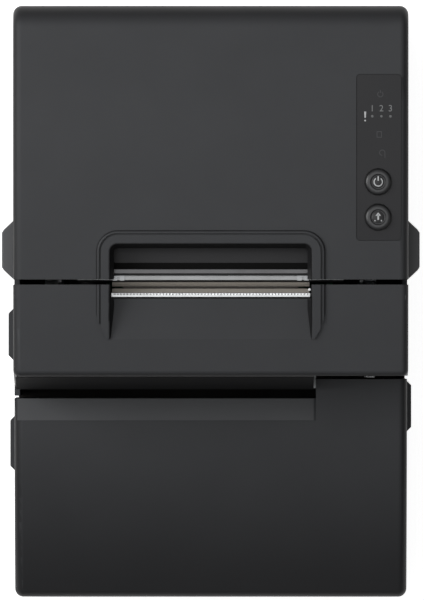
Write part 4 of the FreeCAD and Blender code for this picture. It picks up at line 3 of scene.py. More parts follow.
import bmesh
import bpy
from bpy.props import FloatProperty, FloatVectorProperty, IntProperty, PointerProperty
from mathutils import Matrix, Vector


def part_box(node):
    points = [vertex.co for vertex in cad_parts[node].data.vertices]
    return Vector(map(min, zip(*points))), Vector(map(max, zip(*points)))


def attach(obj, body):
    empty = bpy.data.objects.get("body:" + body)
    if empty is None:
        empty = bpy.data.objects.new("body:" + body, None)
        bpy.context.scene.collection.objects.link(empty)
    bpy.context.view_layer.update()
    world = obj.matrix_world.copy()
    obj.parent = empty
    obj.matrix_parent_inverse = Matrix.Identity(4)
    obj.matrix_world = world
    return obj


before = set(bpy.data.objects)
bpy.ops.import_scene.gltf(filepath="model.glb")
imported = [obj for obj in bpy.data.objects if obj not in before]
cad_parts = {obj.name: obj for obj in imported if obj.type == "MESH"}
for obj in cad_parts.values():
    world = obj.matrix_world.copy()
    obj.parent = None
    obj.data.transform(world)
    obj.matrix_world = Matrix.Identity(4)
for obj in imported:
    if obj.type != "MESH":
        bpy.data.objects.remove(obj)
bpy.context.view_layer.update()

bl_info = {
    "name": "Receipt Printer",
    "version": (1, 0, 0),
    "blender": (4, 5, 0),
    "location": "View3D > Sidebar > Printer",
    "description": "Finishes a desktop receipt and slip printer around its CAD frame",
    "category": "Object",
}

# Crown of the top surface, as in the CAD model, in metres
CROWN_TOP = 0.184
CROWN_RADIUS = 0.693
CROWN_Y = 0.095
PANEL_SINK = 0.00025

# Paper exit, as in the CAD model
EXIT_HALF = 0.047
EXIT_BACK_Y = 0.0273
EXIT_CORNER = 0.0035
COVER_FRONT_Y = 0.0109
RAMP_FOOT_Y = 0.0018
RAMP_TIP_Y = -0.017
RAMP_FALL = 7.0 / 19.0
# Steep flank round the exit, added as painted shade at its edge
SHADE_FLANK_TOP = 0.0006
SHADE_FLANK_DEPTH = 0.005
SHADE_FLANK_SEAT = 0.00005
SHADE_FLANK_START = 0.001
SHADE_FLANK_LIFT = 0.0002
CORNER_STEPS = 8
CHEEK_STEPS = 12

# Key panel marks, in plan
LIGHT_NUMBERS = (("1", 0.0755), ("2", 0.0798), ("3", 0.0840))
NUMBER_Y = 0.0895
ALARM_X = 0.0722
ALARM_FOOT_Y = 0.0865
ALARM_FOOT_HALF = 0.0003
ALARM_TOP_HALF = 0.0005
ALARM_STEM_SHARE = 0.62
ALARM_DOT_Y = 0.0852
ALARM_DOT_R = 0.00042
LINE_W = 0.0003
RING_IN = 0.0011
RING_OUT = 0.0014
POWER_MARK = (0.0793, 0.0975)
POWER_STROKE = (0.0013, 0.0014)
SLIP_MARK = (0.0788, 0.0787)
SLIP_MARK_HALF = (0.00105, 0.0013)
SLIP_MARK_W = 0.0024
SLIP_MARK_H = 0.00226
ROLL_MARK = (0.0802, 0.0702)
ROLL_TAIL = (0.00125, -0.00122, 0.0024)

# Round keys
KEY_X = 0.0783
KEYS = (("power_key", 0.0565), ("feed_key", 0.0400))
KEY_RISE = 0.0013
CAP_SINK = 0.00055
CAP_DOME = 0.00035
CAP_DEPTH = 0.0004
CAP_SIDES = 40
CAP_RINGS = 5
SYMBOL_SEAT = 0.00005
KEY_RING = (0.0017, 0.0022)
KEY_STROKE = (0.0016, 0.0006, 0.0022)
FEED_BARS = ((-0.0016, 0.0036, 0.0006), (-0.0002, 0.0008, 0.0020))
FEED_HEAD = (0.0013, 0.0007, 0.0023)

# Tear edge
TOOTH_HALF_SHARE = 0.45
TOOTH_HEIGHT = 0.0005
TOOTH_SEAT = 0.0001
TOOTH_EDGE_IN = 0.0006
TOOTH_FRONT = 0.0003
TOOTH_BACK = 0.0002

# Lip of the platen bracket and its trim
TRIM_HALF = 0.0462
LIP_FRONT_Y = 0.0140
LIP_REAR_Y = 0.0154
LIP_TOP = 0.169878
TRIM_HANG = 0.0012

# Fittings along the paper slot: outlines of y and z, or of x and y
SLOT_HALF = EXIT_HALF - 0.0008
KNIFE_BEVEL = ((0.00965, 0.1664), (0.00965, 0.1606), (0.00765, 0.1606), (0.00765, 0.1611))
PAPER_GUIDE = ((0.0047, 0.1676), (0.0066, 0.1622), (0.0066, 0.1616), (0.0047, 0.1616))
CLIP_X = (0.0405, 0.0427, 0.0438, 0.0460)
CLIP_Y = (0.0104, 0.0122, 0.0134)
CLIP_Z = (0.1652, 0.1662)
# Painted shade: near-black strip behind the bracket's lip
SHADE_STRIP_Y = 0.0173
SHADE_STRIP_W = 0.0028
SHADE_STRIP_Z = (0.1668, 0.1674)
PIN_PLACE = (0.0462, 0.0062)
PIN_R = 0.0006
PIN_Z = (0.1616, 0.1690)

# Slip mouth, with a painted shade sheet on the lid's front wall and a painted light plate on the lead-in, and
# bottom plate
# Painted shade sheet on the lid's front wall: outline in y and z, run in x
MOUTH_WALL = ((-0.03472, 0.1690), (-0.03492, 0.1690), (-0.04080, 0.1186), (-0.04060, 0.1186))
MOUTH_X = (-0.0915, 0.0483)
LEAD_IN_Y = -0.0450
LEAD_IN_Z = 0.1095
LEAD_IN_SLOPE = 2.5 / 10.6
# Plan box and seat of the painted light plate on the lead-in
LEAD_IN_BOX = (-0.0213, -0.0503, 0.1396, 0.0102)
LEAD_IN_SUNK = 0.0001
LEAD_IN_PROUD = 0.00015
LUG_BOX = (0.0902, -0.0370, 0.0044, 0.0060)
LUG_Z = (0.0032, 0.0042)

# Network socket
CONTACT_X = -0.002
CONTACT_HALF = 0.00022
CONTACT_PATH = ((0.1068, 0.0246), (0.1068, 0.0242), (0.1160, 0.0200), (0.1160, 0.0204))

# Stage: lamps by place, size and power
LAMPS = (
    ("Key light", (-1.08, 0.22, 0.92), 0.9, 10.0),
    ("Top light", (-0.40, 0.18, 2.1), 1.4, 6.9),
)
FLOOR_HALF = 3.0
FLOOR_GLOW = 0.80
SKY_BASE = 0.14
SKY_SLOPE = (-0.05, 0.08, 0.30)
SKY_LEAST = 0.04
CAMERA_REACH = 9.3
CAMERA_PLAN = (0.00059, 0.0013)
PICTURE_HEIGHT = 0.28190
PICTURE_LEVEL = 0.138
SENSOR = 36.0

# Shared values of the prints on the panel
PRINT = {"rough": 0.6, "gloss": 0.3, "grain": 3000.0, "relief": 0.02}


class PrinterSizes(bpy.types.PropertyGroup):
    """Sizes of the printed marks and small fittings."""

    digit_height: FloatProperty(
        name="Digit height", description="Height of the light numbers", default=0.0030, unit="LENGTH"
    )
    alarm_height: FloatProperty(
        name="Alarm mark height", description="Height of the alarm mark", default=0.0047, unit="LENGTH"
    )
    print_thickness: FloatProperty(
        name="Print thickness", description="Thickness of the printed marks", default=0.00006, unit="LENGTH"
    )
    cap_radius: FloatProperty(
        name="Key cap radius", description="Radius of the cap in each key", default=0.0031, unit="LENGTH"
    )
    tooth_pitch: FloatProperty(
        name="Tear tooth pitch", description="Spacing of the tear edge teeth", default=0.0015, unit="LENGTH"
    )
    contact_pitch: FloatProperty(
        name="Contact pitch", description="Spacing of the socket contacts", default=0.00127, unit="LENGTH"
    )
    trim_thickness: FloatProperty(
        name="Trim thickness", description="Sheet of the lip trim", default=0.0003, unit="LENGTH"
    )
    shade_flank_width: FloatProperty(
        name="Shade flank width", description="Width of the flank in the exit", default=0.0017, unit="LENGTH"
    )
    contact_count: IntProperty(
        name="Contacts", description="Contacts in the network socket", default=8, min=1
    )


def colour(name, description, value):
    return FloatVectorProperty(
        name=name, description=description, subtype="COLOR", size=4, min=0.0, max=1.0, default=value
    )


class PrinterColours(bpy.types.PropertyGroup):
    """Colours of the mouldings and marks."""

    cover: colour("Cover", "Moulded covers", (0.0115, 0.0115, 0.0122, 1.0))
    # Painted shade: the case is the covers' black made a little darker, for the shade on the slip table
    case: colour("Case", "Lower case and slip table", (0.0105, 0.0105, 0.0112, 1.0))
    # Painted light: colour mixed into faces that look up, standing in for the overhead light
    painted_light: colour("Painted light", "Painted top light on faces that look up", (0.060, 0.062, 0.066, 1.0))
    panel: colour("Panel", "Key panel film", (0.026, 0.026, 0.028, 1.0))
    lever: colour("Levers", "Release levers", (0.085, 0.086, 0.090, 1.0))
    mark: colour("Marks", "Printed marks", (0.55, 0.56, 0.57, 1.0))
    faint: colour("Faint marks", "Faint printed symbols", (0.075, 0.076, 0.08, 1.0))
    floor: colour("Floor", "Studio floor", (0.93, 0.93, 0.93, 1.0))


def crown_z(y):
    """Height of the crowned top at y."""
    return CROWN_TOP - CROWN_RADIUS + math.sqrt(CROWN_RADIUS ** 2 - (y - CROWN_Y) ** 2)


# Shader groups

def socket(group, name, kind, way, value=None):
    item = group.interface.new_socket(name=name, in_out=way, socket_type="NodeSocket" + kind)
    if value is not None:
        item.default_value = value
    return item


def new_group(name):
    group = bpy.data.node_groups.new(name, "ShaderNodeTree")
    return group, group.nodes.new("NodeGroupInput"), group.nodes.new("NodeGroupOutput")


def node(tree, kind, **values):
    made = tree.nodes.new(kind)
    for key, value in values.items():
        setattr(made, key, value)
    return made


def noise(tree, vector, scale, detail):
    made = node(tree, "ShaderNodeTexNoise")
    made.inputs["Detail"].default_value = detail
    tree.links.new(vector, made.inputs["Vector"])
    if isinstance(scale, bpy.types.NodeSocket):
        tree.links.new(scale, made.inputs["Scale"])
    else:
        made.inputs["Scale"].default_value = scale
    return made.outputs["Fac"]


def maths(tree, operation, a, b, clamp=False):
    made = node(tree, "ShaderNodeMath", operation=operation, use_clamp=clamp)
    for slot_index, value in enumerate((a, b)):
        if isinstance(value, bpy.types.NodeSocket):
            tree.links.new(value, made.inputs[slot_index])
        else:
            made.inputs[slot_index].default_value = value
    return made.outputs[0]


def mix_colour(tree, factor, a, b):
    made = node(tree, "ShaderNodeMix", data_type="RGBA")
    for name, value in (("Factor", factor), ("A", a), ("B", b)):
        kind = "VALUE" if name == "Factor" else "RGBA"
        target = next(s for s in made.inputs if s.name == name and s.type == kind)
        if isinstance(value, bpy.types.NodeSocket):
            tree.links.new(value, target)
        else:
            target.default_value = value
    return next(s for s in made.outputs if s.type == "RGBA")


def moulded_grain():
    """Spark-eroded grain of a moulding: colour drift, roughness and a fine height."""
    group, start, end = new_group("Moulded grain")
    socket(group, "Vector", "Vector", "INPUT")
    socket(group, "Colour", "Color", "INPUT", (0.05, 0.05, 0.05, 1.0))
    socket(group, "Drift Colour", "Color", "INPUT", (0.06, 0.06, 0.06, 1.0))
    socket(group, "Grain Scale", "Float", "INPUT", 2200.0)
    socket(group, "Roughness", "Float", "INPUT", 0.5)
    socket(group, "Roughness Spread", "Float", "INPUT", 0.12)
    socket(group, "Colour", "Color", "OUTPUT")
    socket(group, "Roughness", "Float", "OUTPUT")
    socket(group, "Height", "Float", "OUTPUT")
    grain = noise(group, start.outputs["Vector"], start.outputs["Grain Scale"], 2.0)
    drift = noise(group, start.outputs["Vector"], 28.0, 3.0)
    speckle = maths(group, "MULTIPLY", maths(group, "SUBTRACT", grain, 0.5), 0.9)
    blend = maths(group, "ADD", drift, speckle, True)
    tone = mix_colour(group, blend, start.outputs["Colour"], start.outputs["Drift Colour"])
    spread = maths(group, "MULTIPLY", maths(group, "SUBTRACT", drift, 0.5), start.outputs["Roughness Spread"])
    rough = maths(group, "ADD", start.outputs["Roughness"], spread, True)
    group.links.new(tone, end.inputs["Colour"])
    group.links.new(rough, end.inputs["Roughness"])
    group.links.new(grain, end.inputs["Height"])
    return group


def painted_top_light():
    """Painted light: faces that look up are painted lighter, fading fast as they tilt, standing in for the
    overhead light; broken by a soft noise.
    """
    group, start, end = new_group("Painted top light")
    socket(group, "Vector", "Vector", "INPUT")
    socket(group, "Facing", "Vector", "INPUT")
    socket(group, "Colour", "Color", "INPUT", (0.05, 0.05, 0.05, 1.0))
    socket(group, "Film Colour", "Color", "INPUT", (0.2, 0.2, 0.2, 1.0))
    socket(group, "Amount", "Float", "INPUT", 0.1)
    socket(group, "Falloff", "Float", "INPUT", 6.0)
    socket(group, "Colour", "Color", "OUTPUT")
    split = node(group, "ShaderNodeSeparateXYZ")
    group.links.new(start.outputs["Facing"], split.inputs[0])
    upward = maths(group, "MAXIMUM", split.outputs["Z"], 0.0)
    up = maths(group, "POWER", upward, start.outputs["Falloff"])
    patches = noise(group, start.outputs["Vector"], 45.0, 4.0)
    broken = maths(group, "ADD", maths(group, "MULTIPLY", patches, 0.2), 0.9)
    mask = maths(group, "MULTIPLY", maths(group, "MULTIPLY", up, broken), start.outputs["Amount"], True)
    tone = mix_colour(group, mask, start.outputs["Colour"], start.outputs["Film Colour"])
    group.links.new(tone, end.inputs["Colour"])
    return group


def drawn_metal():
    """Fine lines of rolled or ground metal along X."""
    group, start, end = new_group("Drawn metal")
    socket(group, "Vector", "Vector", "INPUT")
    socket(group, "Colour", "Color", "INPUT", (0.6, 0.6, 0.6, 1.0))
    socket(group, "Line Colour", "Color", "INPUT", (0.5, 0.5, 0.5, 1.0))
    socket(group, "Roughness", "Float", "INPUT", 0.35)
    socket(group, "Colour", "Color", "OUTPUT")
    socket(group, "Roughness", "Float", "OUTPUT")
    socket(group, "Height", "Float", "OUTPUT")
    stretch = node(group, "ShaderNodeMapping")
    stretch.inputs["Scale"].default_value = (0.03, 1.0, 1.0)
    group.links.new(start.outputs["Vector"], stretch.inputs["Vector"])
    lines = noise(group, stretch.outputs[0], 1800.0, 3.0)
    stains = noise(group, start.outputs["Vector"], 60.0, 3.0)
    tone = mix_colour(group, lines, start.outputs["Colour"], start.outputs["Line Colour"])
    spread = maths(group, "MULTIPLY", maths(group, "SUBTRACT", stains, 0.5), 0.2)
    rough = maths(group, "ADD", start.outputs["Roughness"], spread, True)
    group.links.new(tone, end.inputs["Colour"])
    group.links.new(rough, end.inputs["Roughness"])
    group.links.new(lines, end.inputs["Height"])
    return group


GROUPS = {}


def group_named(name, maker):
    if name not in GROUPS:
        GROUPS[name] = maker()
    return GROUPS[name]


def shade(tone, factor):
    return (tone[0] * factor, tone[1] * factor, tone[2] * factor, 1.0)


def start_material(name):
    material = bpy.data.materials.new(name)
    material.use_nodes = True
    tree = material.node_tree
    shader = next(n for n in tree.nodes if n.type == "BSDF_PRINCIPLED")
    where = node(tree, "ShaderNodeTexCoord")
    return material, tree, shader, where.outputs["Object"]


def facing_of(tree):
    """Direction that the surface faces, in the piece's own axes."""
    return next(n for n in tree.nodes if n.type == "TEX_COORD").outputs["Normal"]


def place_group(tree, group, vector, **values):
    made = node(tree, "ShaderNodeGroup", node_tree=group)
    tree.links.new(vector, made.inputs["Vector"])
    for key, value in values.items():
        made.inputs[key.replace("_", " ")].default_value = value
    return made


def bump(tree, shader, height, strength, distance):
    made = node(tree, "ShaderNodeBump")
    made.inputs["Strength"].default_value = strength
    made.inputs["Distance"].default_value = distance
    tree.links.new(height, made.inputs["Height"])
    tree.links.new(made.outputs["Normal"], shader.inputs["Normal"])


def moulding(
    name,
    tone,
    rough=0.5,
    gloss=0.35,
    painted_light=None,
    amount=0.9,
    falloff=6.0,
    grain=2200.0,
    relief=0.12,
    drift=1.12,
):
    """Grained moulded plastic, with painted light on what looks up."""
    material, tree, shader, vector = start_material(name)
    grained = place_group(
        tree,
        group_named("grain", moulded_grain),
        vector,
        Colour=shade(tone, 1.0),
        Drift_Colour=shade(tone, drift),
        Grain_Scale=grain,
        Roughness=rough,
        Roughness_Spread=0.14,
    )
    tint = grained.outputs["Colour"]
    # Painted light: faces that look up are mixed towards a lighter colour, tilted faces stay dark
    if painted_light is not None:
        painted_lit = place_group(
            tree,
            group_named("painted_light", painted_top_light),
            vector,
            Film_Colour=shade(painted_light, 1.0),
            Amount=amount,
            Falloff=falloff,
        )
        tree.links.new(facing_of(tree), painted_lit.inputs["Facing"])
        tree.links.new(tint, painted_lit.inputs["Colour"])
        tint = painted_lit.outputs["Colour"]
    tree.links.new(tint, shader.inputs["Base Color"])
    tree.links.new(grained.outputs["Roughness"], shader.inputs["Roughness"])
    shader.inputs["Specular IOR Level"].default_value = gloss
    bump(tree, shader, grained.outputs["Height"], relief, 0.0002)
    return material


def metal(name, tone, rough=0.35, relief=0.05):
    """Rolled or ground metal."""
    material, tree, shader, vector = start_material(name)
    drawn = place_group(
        tree,
        group_named("metal", drawn_metal),
        vector,
        Colour=shade(tone, 1.0),
        Line_Colour=shade(tone, 0.86),
        Roughness=rough,
    )
    tree.links.new(drawn.outputs["Colour"], shader.inputs["Base Color"])
    tree.links.new(drawn.outputs["Roughness"], shader.inputs["Roughness"])
    shader.inputs["Metallic"].default_value = 1.0
    bump(tree, shader, drawn.outputs["Height"], relief, 0.0001)
    return material


def circuit_board(name):
    """Green solder mask over faint copper tracks."""
    material, tree, shader, vector = start_material(name)
    tracks = node(tree, "ShaderNodeTexBrick")
    tracks.inputs["Scale"].default_value = 90.0
    tracks.inputs["Color1"].default_value = (0.010, 0.085, 0.040, 1.0)
    tracks.inputs["Color2"].default_value = (0.014, 0.105, 0.050, 1.0)
    tracks.inputs["Mortar"].default_value = (0.030, 0.150, 0.075, 1.0)
    tree.links.new(vector, tracks.inputs["Vector"])
    grain = group_named("grain", moulded_grain)
    grained = place_group(tree, grain, vector, Roughness=0.35, Grain_Scale=900.0)
    tree.links.new(tracks.outputs["Color"], shader.inputs["Base Color"])
    tree.links.new(grained.outputs["Roughness"], shader.inputs["Roughness"])
    bump(tree, shader, tracks.outputs["Fac"], 0.2, 0.0001)
    return material


def woven_ribbon(name):
    """Inked nylon weave."""
    material, tree, shader, vector = start_material(name)
    weave = node(tree, "ShaderNodeTexChecker")
    weave.inputs["Scale"].default_value = 4000.0
    weave.inputs["Color1"].default_value = (0.012, 0.010, 0.020, 1.0)
    weave.inputs["Color2"].default_value = (0.030, 0.024, 0.048, 1.0)
    tree.links.new(vector, weave.inputs["Vector"])
    tree.links.new(weave.outputs["Color"], shader.inputs["Base Color"])
    grain = group_named("grain", moulded_grain)
    grained = place_group(tree, grain, vector, Roughness=0.8, Grain_Scale=1500.0)
    tree.links.new(grained.outputs["Roughness"], shader.inputs["Roughness"])
    bump(tree, shader, weave.outputs["Fac"], 0.3, 0.0001)
    return material


MATERIALS = {}


def finish_nodes(material, names):
    """Gives a finish to CAD nodes."""
    for name in names:
        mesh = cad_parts[name].data
        mesh.materials.clear()
        mesh.materials.append(material)


# Mesh helpers

def add_piece(name, mesh, material, body):
    """New object at the origin that rides on a body."""
    mesh.name = name
    mesh.materials.clear()
    mesh.materials.append(material)
    piece = bpy.data.objects.new(name, mesh)
    bpy.context.scene.collection.objects.link(piece)
    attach(piece, body)
    return piece


def mesh_of(build):
    """Mesh from a function that fills a bmesh, with its normals out."""
    work = bmesh.new()
    build(work)
    bmesh.ops.remove_doubles(work, verts=work.verts, dist=1e-7)
    bmesh.ops.recalc_face_normals(work, faces=work.faces)
    mesh = bpy.data.meshes.new("shape")
    work.to_mesh(mesh)
    work.free()
    return mesh


def prism(work, points, low, high):
    """Closed prism on a plan outline, between two height functions of x and y."""
    bottom = [work.verts.new((x, y, low(x, y))) for x, y in points]
    top = [work.verts.new((x, y, high(x, y))) for x, y in points]
    count = len(points)
    work.faces.new(top)
    work.faces.new(list(reversed(bottom)))
    for index in range(count):
        after = (index + 1) % count
        work.faces.new((bottom[index], bottom[after], top[after], top[index]))


def loft(work, sections):
    """Closed solid through a run of sections with the same number of points."""
    rings = [[work.verts.new(point) for point in section] for section in sections]
    work.faces.new(rings[0])
    work.faces.new(list(reversed(rings[-1])))
    for near, far in zip(rings, rings[1:]):
        for k in range(len(near)):
            after = (k + 1) % len(near)
            work.faces.new((near[k], near[after], far[after], far[k]))


def slab_x(work, path, low, high):
    """Closed slab along X on an outline of y and z."""
    loft(work, [[(x, y, z) for y, z in path] for x in (low, high)])


def slab_mesh(path, low, high):
    """Mesh of a slab along X."""
    return mesh_of(lambda work: slab_x(work, path, low, high))


def plates(outlines, heights):
    """Mesh of flat plates on plan outlines, between two heights."""
    foot, top = heights

    def build(work):
        for points in outlines:
            prism(work, points, lambda x, y: foot, lambda x, y: top)

    return mesh_of(build)


def ring_sector(cx, cy, inner, outer, start, end, steps=28):
    """Plan outline of part of a ring, angles in degrees."""
    angles = [math.radians(start + (end - start) * k / steps) for k in range(steps + 1)]
    out = [(cx + outer * math.cos(a), cy + outer * math.sin(a)) for a in angles]
    back = [(cx + inner * math.cos(a), cy + inner * math.sin(a)) for a in reversed(angles)]
    return out + back


def bar(cx, cy, width, height):
    return [
        (cx - width / 2, cy - height / 2),
        (cx + width / 2, cy - height / 2),
        (cx + width / 2, cy + height / 2),
        (cx - width / 2, cy + height / 2),
    ]


def disc(cx, cy, radius, steps=24):
    return [
        (cx + radius * math.cos(2 * math.pi * k / steps), cy + radius * math.sin(2 * math.pi * k / steps))
        for k in range(steps)
    ]


def printed(outlines, thickness):
    """Thin print on the panel that follows the crown."""

    def build(work):
        for points in outlines:
            prism(
                work,
                points,
                lambda x, y: crown_z(y) - PANEL_SINK,
                lambda x, y: crown_z(y) - PANEL_SINK + thickness,
            )

    return mesh_of(build)


def text_mesh(words, height, cx, cy, thickness):
    """Word as a mesh on the panel, centred in x and standing on cy."""
    curve = bpy.data.curves.new("word", "FONT")
    curve.body = words
    curve.align_x = "CENTER"
    curve.size = height / 0.7
    curve.extrude = thickness / 2
    holder = bpy.data.objects.new("word", curve)
    bpy.context.scene.collection.objects.link(holder)
    seen = holder.evaluated_get(bpy.context.evaluated_depsgraph_get())
    mesh = bpy.data.meshes.new_from_object(seen)
    bpy.data.objects.remove(holder)
    bpy.data.curves.remove(curve)
    for vertex in mesh.vertices:
        x = vertex.co.x + cx
        y = vertex.co.y + cy
        vertex.co = (x, y, vertex.co.z + thickness / 2 + crown_z(y) - PANEL_SINK)
    return mesh


# Geometry node trees

def row_tree(name):
    """Tree that sets a row of copies of the object's own mesh along X."""
    tree = bpy.data.node_groups.new(name, "GeometryNodeTree")
    socket(tree, "Geometry", "Geometry", "INPUT")
    socket(tree, "Count", "Int", "INPUT", 2)
    socket(tree, "Pitch", "Float", "INPUT", 0.001)
    socket(tree, "Finish", "Material", "INPUT")
    socket(tree, "Geometry", "Geometry", "OUTPUT")
    start = tree.nodes.new("NodeGroupInput")
    end = tree.nodes.new("NodeGroupOutput")
    line = node(tree, "GeometryNodeMeshLine", mode="OFFSET")
    step = node(tree, "ShaderNodeCombineXYZ")
    spots = node(tree, "GeometryNodeInstanceOnPoints")
    real = node(tree, "GeometryNodeRealizeInstances")
    paint = node(tree, "GeometryNodeSetMaterial")
    link = tree.links.new
    link(start.outputs["Count"], line.inputs["Count"])
    link(start.outputs["Pitch"], step.inputs["X"])
    link(step.outputs[0], line.inputs["Offset"])
    link(line.outputs[0], spots.inputs["Points"])
    link(start.outputs["Geometry"], spots.inputs["Instance"])
    link(spots.outputs[0], real.inputs[0])
    link(real.outputs[0], paint.inputs["Geometry"])
    link(start.outputs["Finish"], paint.inputs["Material"])
    link(paint.outputs[0], end.inputs[0])
    return tree


def row_of(tree, mesh, count, pitch, material):
    """Plain mesh of a row of copies of mesh, made by the tree."""
    holder = bpy.data.objects.new("row", mesh)
    bpy.context.scene.collection.objects.link(holder)
    repeat = holder.modifiers.new("row", "NODES")
    repeat.node_group = tree
    identifiers = {
        item.name: item.identifier
        for item in tree.interface.items_tree
        if item.item_type == "SOCKET" and item.in_out == "INPUT"
    }
    repeat[identifiers["Count"]] = count
    repeat[identifiers["Pitch"]] = pitch
    repeat[identifiers["Finish"]] = material
    bpy.context.view_layer.update()
    seen = holder.evaluated_get(bpy.context.evaluated_depsgraph_get())
    result = bpy.data.meshes.new_from_object(seen)
    holder.modifiers.remove(repeat)
    bpy.data.objects.remove(holder)
    return result


# Operators

class PRINTER_OT_mouldings(bpy.types.Operator):
    """Finish the covers, the case, the slip table, the panel, the keys and the levers"""

    bl_idname = "printer.mouldings"
    bl_label = "Mouldings"

    def execute(self, context):
        tones = context.scene.printer_colours
        # Covers and keys carry painted light on faces that look up
        cover = moulding(
            "Cover moulding", tones.cover, rough=0.50, gloss=0.18, painted_light=tones.painted_light, amount=0.85, falloff=4.5
        )
        # Painted shade: the case's steeper falloff darkens the slip table towards its front
        case = moulding(
            "Body moulding", tones.case, rough=0.50, gloss=0.18, painted_light=tones.painted_light, amount=0.85, falloff=9.0
        )
        panel = moulding("Panel membrane", tones.panel, rough=0.42, gloss=0.25, grain=3200.0, relief=0.05)
        keys = moulding(
            "Key moulding",
            tones.cover,
            rough=0.32,
            gloss=0.5,
            painted_light=tones.painted_light,
            amount=0.5,
            grain=3000.0,
            relief=0.04,
        )
        lever = moulding("Lever moulding", tones.lever, rough=0.45, gloss=0.35)
        lens = moulding("Light pipe", (0.085, 0.09, 0.09), rough=0.2, gloss=0.5, grain=1500.0, relief=0.02)
        finish_nodes(cover, ["roll_cover", "front_lid"])
        finish_nodes(case, ["base_case", "front_unit_case"])
        finish_nodes(panel, ["control_panel"])
        finish_nodes(keys, ["power_key", "feed_key"])
        finish_nodes(lever, ["release_levers"])
        finish_nodes(lens, ["status_lights"])
        MATERIALS["cover"] = cover
        MATERIALS["key cap"] = moulding("Key cap", (0.016, 0.016, 0.017), rough=0.35, gloss=0.4, relief=0.03)
        return {"FINISHED"}


class PRINTER_OT_mechanism(bpy.types.Operator):
    """Finish the frames, shafts, gears, motors, boards, sockets and rubber"""

    bl_idname = "printer.mechanism"
    bl_label = "Mechanism"

    def execute(self, context):
        inner = moulding("Inner moulding", (0.016, 0.016, 0.017), rough=0.6, gloss=0.25)
        acetal = moulding(
            "Natural acetal", (0.50, 0.48, 0.42), rough=0.42, gloss=0.4, grain=1400.0, relief=0.04
        )
        rubber = moulding(
            "Roller rubber", (0.020, 0.020, 0.021), rough=0.8, gloss=0.2, grain=1600.0, relief=0.2
        )
        can = moulding("Motor can", (0.045, 0.045, 0.05), rough=0.4, gloss=0.5, grain=1200.0, relief=0.05)
        shell = moulding("Socket shell", (0.022, 0.022, 0.024), rough=0.45, gloss=0.4)
        sheet = metal("Plated sheet", (0.42, 0.43, 0.44), 0.42)
        shaft = metal("Ground shaft", (0.58, 0.59, 0.60), 0.28)
        edge = metal("Bright edge", (0.64, 0.65, 0.66), 0.34)
        black = metal("Blackened steel", (0.030, 0.028, 0.027), 0.5)
        glaze = moulding(
            "Head glaze", (0.085, 0.070, 0.055), rough=0.35, gloss=0.4, grain=1800.0, relief=0.03
        )
        knife = metal("Knife steel", (0.31, 0.315, 0.32), 0.36)
        trim = metal("Dull trim", (0.155, 0.155, 0.16), 0.45)
        finish_nodes(inner, ["roll_bay", "ribbon_cassette", "carriage", "cutter_motor"])
        bracket = moulding("Bracket paint", (0.027, 0.027, 0.029), rough=0.55, gloss=0.3)
        finish_nodes(bracket, ["platen_bracket"])
        finish_nodes(
            acetal,
            [
                "feed_gear",
                "feed_pinion",
                "slip_pinion",
                "pinch_rollers",
                "drive_pulley",
                "idler_pulley",
                "form_stopper",
                "ribbon_knob",
                "platen_bearings",
            ],
        )
        finish_nodes(rubber, ["rubber_feet", "slip_rollers", "platen_roller", "timing_belt"])
        finish_nodes(can, ["receipt_motor", "slip_motor", "carriage_motor", "stopper_solenoid"])
        finish_nodes(shell, ["power_inlet", "data_ports"])
        finish_nodes(
            sheet,
            [
                "left_side_frame",
                "right_side_frame",
                "head_plate",
                "lower_slip_guide",
                "upper_slip_guide",
                "pulley_plates",
                "interface_plate",
            ],
        )
        finish_nodes(
            shaft,
            [
                "case_screws",
                "cover_hinge_pins",
                "front_unit_pins",
                "head_springs",
                "cutter_shaft",
                "slip_roller_shaft",
                "carriage_rod",
                "platen_shaft",
                "latch_shaft",
                "print_head",
            ],
        )
        finish_nodes(black, ["bottom_plate", "cutter_frame", "cutter_blade"])
        finish_nodes(edge, ["tear_bar"])
        finish_nodes(glaze, ["thermal_head"])
        finish_nodes(knife, ["fixed_blade"])
        finish_nodes(circuit_board("Circuit board"), ["main_board", "port_board", "panel_board"])
        finish_nodes(woven_ribbon("Inked ribbon"), ["ink_ribbon"])
        MATERIALS["edge"] = edge
        MATERIALS["trim"] = trim
        MATERIALS["plate"] = sheet
        MATERIALS["guide"] = moulding(
            "Paper guide", (0.47, 0.44, 0.40), rough=0.4, gloss=0.5, grain=1800.0, relief=0.03
        )
        MATERIALS["contact"] = metal("Gold contact", (0.72, 0.50, 0.20), 0.25)
        return {"FINISHED"}


